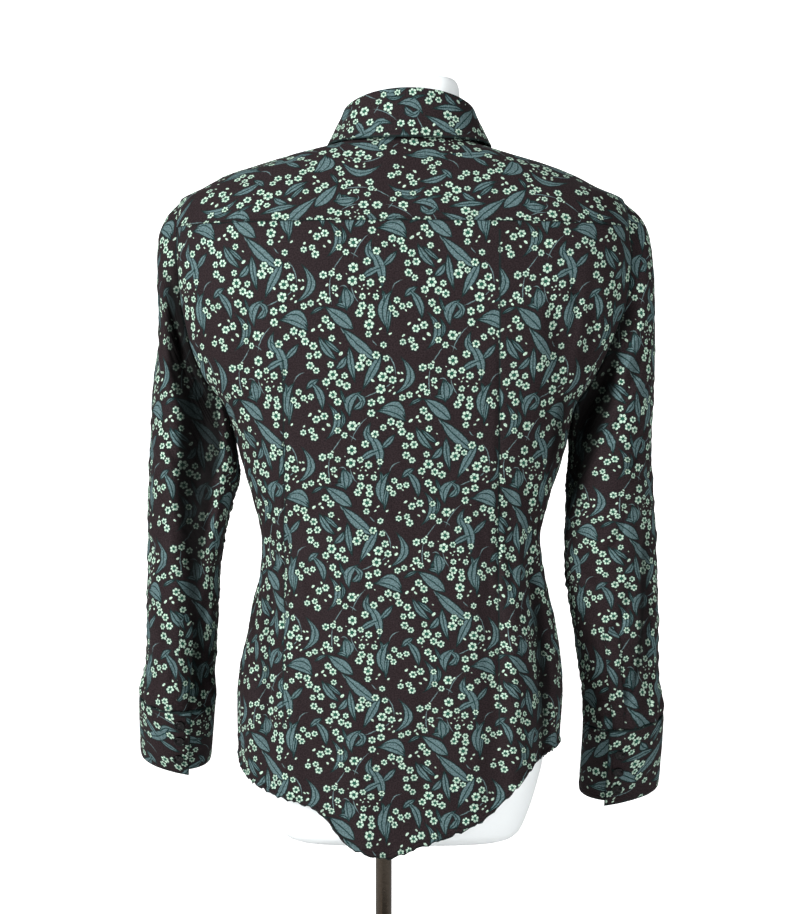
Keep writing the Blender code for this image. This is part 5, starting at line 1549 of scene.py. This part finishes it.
def fill_print(recipe, given):
    """The colour of the print at a place of the flat cloth."""
    chart = recipe.scaled(given["Place"], 1 / CHART_STEP)
    s = recipe.dot(chart, (0.5 / REPEAT_ACROSS, -0.5 / REPEAT_DOWN, 0))
    t = recipe.dot(chart, (0.5 / REPEAT_ACROSS, 0.5 / REPEAT_DOWN, 0))
    wobble = recipe.scaled(recipe.vector("SUBTRACT", recipe.noise(chart, 0.35, 1.0, output="Color"),
                                         (0.5, 0.5, 0.5)), 0.009)
    place = recipe.vector("MULTIPLY", recipe.vector("ADD", recipe.combined(s, t), wobble), (1, 1, 0))
    insides, ribs = [], []
    for leaf in LEAVES:
        inside, away = leaf_shape(recipe, place, leaf)
        insides.append(inside)
        ribs.append(recipe.math("MINIMUM", recipe.math("SUBTRACT", MIDRIB, away), inside))
    inside, rib = largest(recipe, insides), largest(recipe, ribs)
    stems = largest(recipe, [leaf_shape(recipe, place, (*stem, STEM_WIDTH, 0))[0] for stem in STEMS])
    flowers = []
    for radius, places in FLOWERS.items():
        best = nearest = None
        for i, spot in enumerate(places):
            offset = motif_offset(recipe, place, *spot, turn=i * TURN_CODE)
            far = recipe.length(offset)
            if best is None:
                best, nearest = far, offset
            else:
                closer = recipe.math("LESS_THAN", far, best)
                nearest = recipe.chosen(closer, nearest, offset, "VECTOR")
                best = recipe.math("MINIMUM", best, far)
        flowers.append(petals(recipe, nearest, radius))
    petal = largest(recipe, [flower[0] for flower in flowers])
    eye = largest(recipe, [flower[1] for flower in flowers])
    reach = largest(recipe, [flower[2] for flower in flowers])
    buds = []
    for slant, places in BUDS.items():
        for x, y, size in places:
            offset = recipe.vector("MULTIPLY", motif_offset(recipe, place, x, y), BUD_SLANTS[slant])
            buds.append(recipe.math("MULTIPLY_ADD", recipe.length(offset), -REPEAT_ACROSS * 1.37, size))
    bud = largest(recipe, buds)
    streak = recipe.noise(recipe.vector("MULTIPLY", chart, (1.6, 0.55, 1)), 0.9, 3.0, 0.6)
    leaf_tone = recipe.chosen(streak, given["Leaf dark"], given["Leaf"], "RGBA")
    rim = recipe.soft_step(inside, -1.6, -0.3)
    colour = recipe.chosen(rim, given["Ground"], given["Shadow"], "RGBA")
    colour = recipe.chosen(recipe.soft_step(stems, 0.0, 0.3), colour, given["Leaf"], "RGBA")
    colour = recipe.chosen(recipe.soft_step(inside, -0.1, 0.35), colour, leaf_tone, "RGBA")
    colour = recipe.chosen(recipe.soft_step(rib, -0.25, 0.3), colour, given["Edge"], "RGBA")
    colour = recipe.chosen(recipe.soft_step(reach, -0.9, 0.0), colour, given["Shadow"], "RGBA")
    colour = recipe.chosen(recipe.soft_step(bud, -0.1, 0.4), colour, given["Petal"], "RGBA")
    colour = recipe.chosen(recipe.soft_step(petal, -0.15, 0.35), colour, given["Petal"], "RGBA")
    colour = recipe.chosen(recipe.soft_step(eye, -0.3, 0.3), colour, given["Eye"], "RGBA")
    return {"Color": colour}


def petals(recipe, offset, radius):
    """How far inside its petals, its eye and its outer ring a place of a flower is, in chart steps."""
    x = recipe.dot(offset, step_vector(1, 0))
    y = recipe.dot(offset, step_vector(0, 1))
    far = recipe.length(recipe.combined(x, y))
    turn = recipe.dot(offset, (0, 0, 0.9 / TURN_CODE))
    angle = recipe.math("ADD", recipe.math("ARCTAN2", y, x), turn)
    lobe = recipe.math("ABSOLUTE", recipe.math("COSINE", recipe.math("MULTIPLY", angle, 3.0)))
    rim = recipe.math("MULTIPLY_ADD", recipe.math("POWER", lobe, 0.6), radius * 0.42, radius * 0.58)
    petal = recipe.math("SUBTRACT", rim, far)
    gap = recipe.math("SUBTRACT", recipe.math("MULTIPLY", lobe, far), radius * 0.13)
    petal = recipe.math("MINIMUM", petal, gap)
    spikes = recipe.math("MULTIPLY_ADD", lobe, -radius * 0.16, radius * 0.54)
    eye = recipe.math("SUBTRACT", spikes, far)
    return petal, eye, recipe.math("SUBTRACT", radius, far)


def print_group():
    """The print, with its colours as inputs."""
    inputs = [("Place", "NodeSocketVector", None)]
    inputs += [(name, "NodeSocketColor", (*colour, 1)) for name, colour in print_colours().items()]
    return shared_group("Leaf and flower print", inputs, [("Color", "NodeSocketColor")], fill_print)


def print_colours():
    """The print's colours, by the names of its inputs."""
    tone = colours()
    return {
        "Ground": tone.ground, "Leaf": tone.leaf, "Leaf dark": tone.leaf_dark, "Edge": tone.leaf_edge,
        "Shadow": tone.shadow, "Petal": tone.petal, "Eye": tone.eye,
    }


def fill_weave(recipe, given):
    """A plain weave of fine threads: how high each thread is, and a little unevenness of tone."""
    u = recipe.place("ShaderNodeSeparateXYZ", {0: given["Place"]}, 0)
    v = recipe.place("ShaderNodeSeparateXYZ", {0: given["Place"]}, 1)
    across = recipe.math("SINE", recipe.math("MULTIPLY", u, math.pi / WEAVE_PITCH))
    along = recipe.math("SINE", recipe.math("MULTIPLY", v, math.pi / WEAVE_PITCH))
    height = recipe.math("MULTIPLY", across, along)
    slub = recipe.noise(recipe.vector("MULTIPLY", given["Place"], (1800, 260, 1)), 1.0, 2.0)
    washed = recipe.noise(given["Place"], 75.0, 3.0, 0.55)
    mottle = recipe.soft_step(recipe.noise(given["Place"], 620.0, 2.0, 0.7), 0.30, 0.70)
    tone = recipe.math("MULTIPLY_ADD", mottle, 0.75, recipe.math("MULTIPLY", slub, 0.25))
    return {"Height": recipe.math("MULTIPLY_ADD", slub, 0.8, height), "Tone": tone, "Wash": washed}


def fill_seams(recipe, given):
    """Stitches: a topstitched line at the second distance, the pucker beside both kinds of seam and a
    painted shade.
    """
    plain_seam = recipe.place("ShaderNodeSeparateXYZ", {0: given["Seam"]}, 0)
    edge = recipe.place("ShaderNodeSeparateXYZ", {0: given["Seam"]}, 1)
    run = recipe.dot(given["Place"], (1, 1, 0))
    dash = recipe.math("SINE", recipe.math("MULTIPLY", run, 2 * math.pi / STITCH_LENGTH))
    away = recipe.math("ABSOLUTE", recipe.math("SUBTRACT", edge, TOPSTITCH_INSET))
    line = recipe.soft_step(away, STITCH_WIDTH, 0.0)
    stitch = recipe.math("MULTIPLY", line, recipe.soft_step(dash, -0.5, 0.1))
    ripple = recipe.noise(given["Place"], 260.0, 2.0)
    near_edge = recipe.soft_step(edge, 0.011, 0.002)
    near_seam = recipe.soft_step(plain_seam, 0.009, 0.0)
    pucker = recipe.math("MULTIPLY", recipe.math("MAXIMUM", near_edge, near_seam), ripple)
    groove = recipe.soft_step(away, 3 * STITCH_WIDTH, 0.0)
    height = recipe.math("MULTIPLY_ADD", groove, -0.6, pucker)
    height = recipe.math("MULTIPLY_ADD", stitch, 0.8, height)
    # Painted shade: a dark line beside each seam and dart, and along each turned or hemmed edge.
    painted_seam_shade = recipe.math("MAXIMUM", recipe.soft_step(plain_seam, SEAM_SHADE, 0.0),
                         recipe.soft_step(edge, HEM_SHADE, HEM_SHADE / 3))
    return {"Height": height, "Stitch": stitch, "Painted seam shade": painted_seam_shade}


def start_finish(name):
    """A new material with its shader and a recipe for its nodes."""
    finish = bpy.data.materials.new(name)
    finish.use_nodes = True
    shader = next(node for node in finish.node_tree.nodes if node.type == "BSDF_PRINCIPLED")
    return finish, shader, Recipe(finish.node_tree)


def vectors(*labels):
    """Group inputs that are vectors."""
    return [(label, "NodeSocketVector", None) for label in labels]


def floats(*labels):
    """Group outputs that are single values."""
    return [(label, "NodeSocketFloat") for label in labels]


def printed_cloth(name, wrong_side):
    """The cloth's material; its wrong side shows the same print, darker."""
    if name in bpy.data.materials:
        return bpy.data.materials[name]
    finish, shader, recipe = start_finish(name)
    tree = finish.node_tree
    place, edges, folds = (recipe.place("ShaderNodeUVMap", {}, uv_map=layer) for layer in CLOTH_MAPS)
    weave_group = shared_group("Plain weave", vectors("Place"),
                               floats("Height", "Tone", "Wash"), fill_weave)
    seam_group = shared_group("Stitched seams", vectors("Place", "Seam"),
                              floats("Height", "Stitch", "Painted seam shade"), fill_seams)
    colour = group_node(recipe, print_group(), {"Place": place}).outputs["Color"]
    weave = group_node(recipe, weave_group, {"Place": place}).outputs
    seams = group_node(recipe, seam_group, {"Place": place, "Seam": edges}).outputs
    least_tone = WRONG_SIDE_TONE if wrong_side else CLOTH_TONE
    tone = recipe.math("MULTIPLY_ADD", weave["Tone"], WEAVE_CONTRAST, least_tone)
    tone = recipe.math("MULTIPLY", tone, recipe.math("MULTIPLY_ADD", weave["Wash"], *WASH_TONE))
    # Painted shade: the colour is darkened where the cloth lies deep in its folds.
    depth = recipe.place("ShaderNodeSeparateXYZ", {0: folds}, 0)
    shade = recipe.math("MULTIPLY_ADD", recipe.soft_step(depth, *FOLD_DEPTHS), -FOLD_SHADE, 1.0)
    colour = recipe.scaled(colour, recipe.math("MULTIPLY", tone, shade))
    # Thread over the stitches, then the painted shade beside seams and edges.
    sewn_parts = ("Stitch", STITCH_SHOWS, colours().thread), ("Painted seam shade", PAINTED_SEAM_EDGE_SHADE_SHOWS, colours().shadow)
    for part, strength, tint in sewn_parts:
        share = recipe.math("MULTIPLY", seams[part], strength)
        colour = recipe.chosen(share, colour, (*tint, 1), "RGBA")
    tree.links.new(colour, shader.inputs["Base Color"])
    rough = recipe.math("MULTIPLY_ADD", weave["Wash"], *CLOTH_ROUGHNESS)
    tree.links.new(rough, shader.inputs["Roughness"])
    shader.inputs["Specular IOR Level"].default_value = CLOTH_SPECULAR
    shader.inputs["Sheen Weight"].default_value = CLOTH_SHEEN
    shader.inputs["Sheen Roughness"].default_value = CLOTH_SHEEN_ROUGHNESS
    fine = recipe.relief(weave["Height"], 0.35, WEAVE_HEIGHT)
    sewn = recipe.relief(seams["Height"], 0.9, PUCKER_HEIGHT, fine)
    soft = recipe.relief(weave["Wash"], 0.6, WASH_HEIGHT, sewn)
    tree.links.new(soft, shader.inputs["Normal"])
    return finish


def group_node(recipe, group, inputs):
    """A shared group placed in a material, fed by these inputs."""
    node = recipe.tree.nodes.new("ShaderNodeGroup")
    node.node_tree = group
    for name, value in inputs.items():
        recipe.tree.links.new(value, node.inputs[name])
    return node


def cloth_finishes():
    """The cloth's right side and wrong side."""
    return [printed_cloth("printed cloth", False), printed_cloth("cloth wrong side", True)]


def fill_surface(recipe, given):
    """Small unevenness of a hard surface: cloudy tone, and fine scratches or grain."""
    cloud = recipe.noise(given["Place"], 9.0, 3.0, 0.55)
    grain = recipe.noise(recipe.vector("MULTIPLY", given["Place"], given["Grain"]), 1.0, 3.0, 0.6)
    return {"Cloud": cloud, "Grain": grain}


def surface_finish(name, colour, roughness, grain, spread, height, metallic=0.0, glow=0.0, specular=0.5):
    """A hard finish whose tone and roughness vary a little, with a fine grain in its surface."""
    if name in bpy.data.materials:
        return bpy.data.materials[name]
    finish, shader, recipe = start_finish(name)
    tree = finish.node_tree
    group = shared_group("Hard surface", vectors("Place", "Grain"), floats("Cloud", "Grain"), fill_surface)
    node = group_node(recipe, group, {"Place": recipe.place("ShaderNodeTexCoord", {}, "Object")})
    node.inputs["Grain"].default_value = grain
    low = tuple(channel * (1 - spread) for channel in colour)
    tone = recipe.chosen(node.outputs["Cloud"], (*low, 1), (*colour, 1), "RGBA")
    tree.links.new(tone, shader.inputs["Base Color"])
    rough = recipe.math("MULTIPLY_ADD", node.outputs["Grain"], GRAIN_ROUGHNESS, roughness)
    tree.links.new(rough, shader.inputs["Roughness"])
    shader.inputs["Metallic"].default_value = metallic
    shader.inputs["Specular IOR Level"].default_value = specular
    tree.links.new(recipe.relief(node.outputs["Grain"], 0.5, height), shader.inputs["Normal"])
    if glow:
        seen = recipe.place("ShaderNodeLightPath", {}, "Is Camera Ray")
        shader.inputs["Emission Color"].default_value = (1, 1, 1, 1)
        tree.links.new(recipe.math("MULTIPLY", seen, glow), shader.inputs["Emission Strength"])
    return finish


def button_finish():
    """Glossy black, which throws back little light straight on."""
    return surface_finish("glossy black button", colours().button, roughness=0.10, grain=(900, 900, 900),
                          spread=0.3, height=0.00001, specular=0.22)


def thread_finish():
    """Dull dark sewing thread."""
    return surface_finish("button thread", colours().ground, roughness=0.65, grain=(2500, 2500, 2500),
                          spread=0.4, height=0.0001)


def form_finish():
    """Smooth white plastic."""
    return surface_finish("white form", colours().form, roughness=0.42, grain=(420, 420, 420),
                          spread=0.05, height=0.00006)


def steel_finish():
    """Bronzed steel, with turning marks round the pole and the base."""
    return surface_finish("bronzed steel", colours().steel, roughness=0.22, grain=(160, 160, 9000),
                          spread=0.25, height=0.00001, metallic=0.9)


def paper_finish():
    """White paper, which glows for the camera only."""
    return surface_finish("white paper", PAPER_WHITE, roughness=0.85, grain=(300, 300, 300),
                          spread=0.02, height=0.0002, glow=PAPER_GLOW)


class ShirtSizes(bpy.types.PropertyGroup):
    """Sizes of the shirt's cloth and trimmings."""

    cloth: bpy.props.FloatProperty(
        name="Cloth", description="Thickness of one layer of cloth", default=0.0009, min=0,
        unit="LENGTH", subtype="DISTANCE")
    stiff_cloth: bpy.props.FloatProperty(
        name="Stiff cloth", description="Thickness of the interlined pieces", default=0.0016, min=0,
        unit="LENGTH", subtype="DISTANCE")
    button_radius: bpy.props.FloatProperty(
        name="Button radius", description="Radius of every button", default=0.0056, min=0,
        unit="LENGTH", subtype="DISTANCE")
    hem_roll: bpy.props.FloatProperty(
        name="Hem roll", description="How far the rolled hem stands out", default=0.0015, min=0,
        unit="LENGTH", subtype="DISTANCE")


class ShirtColours(bpy.types.PropertyGroup):
    """Colours of the print, the buttons and the stand."""

    ground: bpy.props.FloatVectorProperty(
        name="Ground", description="Dark ground of the print", default=(0.0168, 0.0110, 0.0123),
        size=3, min=0, max=1, subtype="COLOR")
    leaf: bpy.props.FloatVectorProperty(
        name="Leaf", description="Grey-teal of the print's leaves", default=(0.1050, 0.1620, 0.1680),
        size=3, min=0, max=1, subtype="COLOR")
    leaf_dark: bpy.props.FloatVectorProperty(
        name="Leaf, dark", description="Darker streaks in a leaf", default=(0.0560, 0.0950, 0.1030),
        size=3, min=0, max=1, subtype="COLOR")
    leaf_edge: bpy.props.FloatVectorProperty(
        name="Leaf edge", description="Dark teal of the veins", default=(0.0070, 0.0262, 0.0262),
        size=3, min=0, max=1, subtype="COLOR")
    # The print's dark rim, and also the colour of the shade painted beside seams and edges.
    shadow: bpy.props.FloatVectorProperty(
        name="Shadow", description="Dark rim round leaves and flowers", default=(0.0050, 0.0150, 0.0145),
        size=3, min=0, max=1, subtype="COLOR")
    thread: bpy.props.FloatVectorProperty(
        name="Thread", description="Sewing thread", default=(0.0080, 0.0080, 0.0090),
        size=3, min=0, max=1, subtype="COLOR")
    petal: bpy.props.FloatVectorProperty(
        name="Petal", description="Mint white of the flowers", default=(0.4050, 0.5420, 0.4430),
        size=3, min=0, max=1, subtype="COLOR")
    eye: bpy.props.FloatVectorProperty(
        name="Eye", description="Dark green middle of a flower", default=(0.0123, 0.0685, 0.0452),
        size=3, min=0, max=1, subtype="COLOR")
    button: bpy.props.FloatVectorProperty(
        name="Button", description="Glossy black of the buttons", default=(0.0015, 0.0015, 0.0018),
        size=3, min=0, max=1, subtype="COLOR")
    form: bpy.props.FloatVectorProperty(
        name="Form", description="White of the dress form", default=(0.90, 0.94, 0.95),
        size=3, min=0, max=1, subtype="COLOR")
    steel: bpy.props.FloatVectorProperty(
        name="Steel", description="Dark bronzed steel of pole and base", default=(0.090, 0.073, 0.057),
        size=3, min=0, max=1, subtype="COLOR")


def sizes():
    """The sizes that the sidebar shows."""
    return bpy.context.scene.shirt_sizes


def colours():
    """The colours that the sidebar shows."""
    return bpy.context.scene.shirt_colours


class SHIRT_OT_form(bpy.types.Operator):
    """Make the smooth limbless form"""

    bl_idname = "shirt.form"
    bl_label = "Dress form"
    bl_options = {"REGISTER", "UNDO"}

    def execute(self, context):
        make_form()
        return {"FINISHED"}


class SHIRT_OT_stand(bpy.types.Operator):
    """Turn the pole and the round base"""

    bl_idname = "shirt.stand"
    bl_label = "Stand"
    bl_options = {"REGISTER", "UNDO"}

    def execute(self, context):
        make_stand()
        return {"FINISHED"}


class SHIRT_OT_back(bpy.types.Operator):
    """Sew the back with its darts and tail hem"""

    bl_idname = "shirt.back"
    bl_label = "Back"
    bl_options = {"REGISTER", "UNDO"}

    def execute(self, context):
        make_back()
        return {"FINISHED"}


class SHIRT_OT_fronts(bpy.types.Operator):
    """Sew the two fronts"""

    bl_idname = "shirt.fronts"
    bl_label = "Fronts"
    bl_options = {"REGISTER", "UNDO"}

    def execute(self, context):
        for side in SIDES:
            make_front(side)
        return {"FINISHED"}


class SHIRT_OT_yoke(bpy.types.Operator):
    """Sew the yoke over the shoulders"""

    bl_idname = "shirt.yoke"
    bl_label = "Yoke"
    bl_options = {"REGISTER", "UNDO"}

    def execute(self, context):
        make_yoke()
        return {"FINISHED"}


class SHIRT_OT_sleeves(bpy.types.Operator):
    """Sew the two sleeves"""

    bl_idname = "shirt.sleeves"
    bl_label = "Sleeves"
    bl_options = {"REGISTER", "UNDO"}

    def execute(self, context):
        for side in SIDES:
            make_sleeve(side)
        return {"FINISHED"}


class SHIRT_OT_plackets(bpy.types.Operator):
    """Sew the strips over the slits of the sleeves"""

    bl_idname = "shirt.plackets"
    bl_label = "Sleeve plackets"
    bl_options = {"REGISTER", "UNDO"}

    def execute(self, context):
        for side in SIDES:
            make_sleeve_placket(side)
        return {"FINISHED"}


class SHIRT_OT_cuffs(bpy.types.Operator):
    """Sew the two cuffs"""

    bl_idname = "shirt.cuffs"
    bl_label = "Cuffs"
    bl_options = {"REGISTER", "UNDO"}

    def execute(self, context):
        for side in SIDES:
            make_cuff(side)
        return {"FINISHED"}


class SHIRT_OT_collar(bpy.types.Operator):
    """Sew the collar's stand and fall"""

    bl_idname = "shirt.collar"
    bl_label = "Collar"
    bl_options = {"REGISTER", "UNDO"}

    def execute(self, context):
        make_collar_stand()
        make_collar_fall()
        return {"FINISHED"}


class SHIRT_OT_band(bpy.types.Operator):
    """Sew the button band over the fronts"""

    bl_idname = "shirt.band"
    bl_label = "Button band"
    bl_options = {"REGISTER", "UNDO"}

    def execute(self, context):
        make_band()
        return {"FINISHED"}


class SHIRT_OT_buttons(bpy.types.Operator):
    """Turn the buttons and sew them on"""

    bl_idname = "shirt.buttons"
    bl_label = "Buttons"
    bl_options = {"REGISTER", "UNDO"}

    def execute(self, context):
        make_buttons()
        return {"FINISHED"}


class SHIRT_OT_stage(bpy.types.Operator):
    """Set up the paper sweep, lamps and camera"""

    bl_idname = "shirt.stage"
    bl_label = "Stage"
    bl_options = {"REGISTER", "UNDO"}

    def execute(self, context):
        make_stage()
        return {"FINISHED"}


OPERATORS = (
    SHIRT_OT_form, SHIRT_OT_stand, SHIRT_OT_back, SHIRT_OT_fronts, SHIRT_OT_yoke, SHIRT_OT_sleeves,
    SHIRT_OT_plackets, SHIRT_OT_cuffs, SHIRT_OT_collar, SHIRT_OT_band, SHIRT_OT_buttons, SHIRT_OT_stage,
)


class SHIRT_PT_pieces(bpy.types.Panel):
    """Lists the shirt's pieces, sizes and colours in the sidebar."""

    bl_idname = "SHIRT_PT_pieces"
    bl_label = "Printed shirt"
    bl_space_type = "VIEW_3D"
    bl_region_type = "UI"
    bl_category = "Shirt"

    def draw(self, context):
        for maker in OPERATORS:
            self.layout.operator(maker.bl_idname)
        for group in (sizes(), colours()):
            for name in group.__annotations__:
                self.layout.prop(group, name)


CLASSES = (ShirtSizes, ShirtColours, *OPERATORS, SHIRT_PT_pieces)


def register():
    """Makes the shirt's operators, panel, sizes and colours known."""
    for item in CLASSES:
        bpy.utils.register_class(item)
    bpy.types.Scene.shirt_sizes = bpy.props.PointerProperty(type=ShirtSizes)
    bpy.types.Scene.shirt_colours = bpy.props.PointerProperty(type=ShirtColours)


def unregister():
    """Takes them away again."""
    del bpy.types.Scene.shirt_colours
    del bpy.types.Scene.shirt_sizes
    for item in reversed(CLASSES):
        bpy.utils.unregister_class(item)


def main():
    """Makes every piece in order."""
    register()
    for maker in OPERATORS:
        group, name = maker.bl_idname.split(".")
        getattr(getattr(bpy.ops, group), name)()


if __name__ == "__main__":
    main()
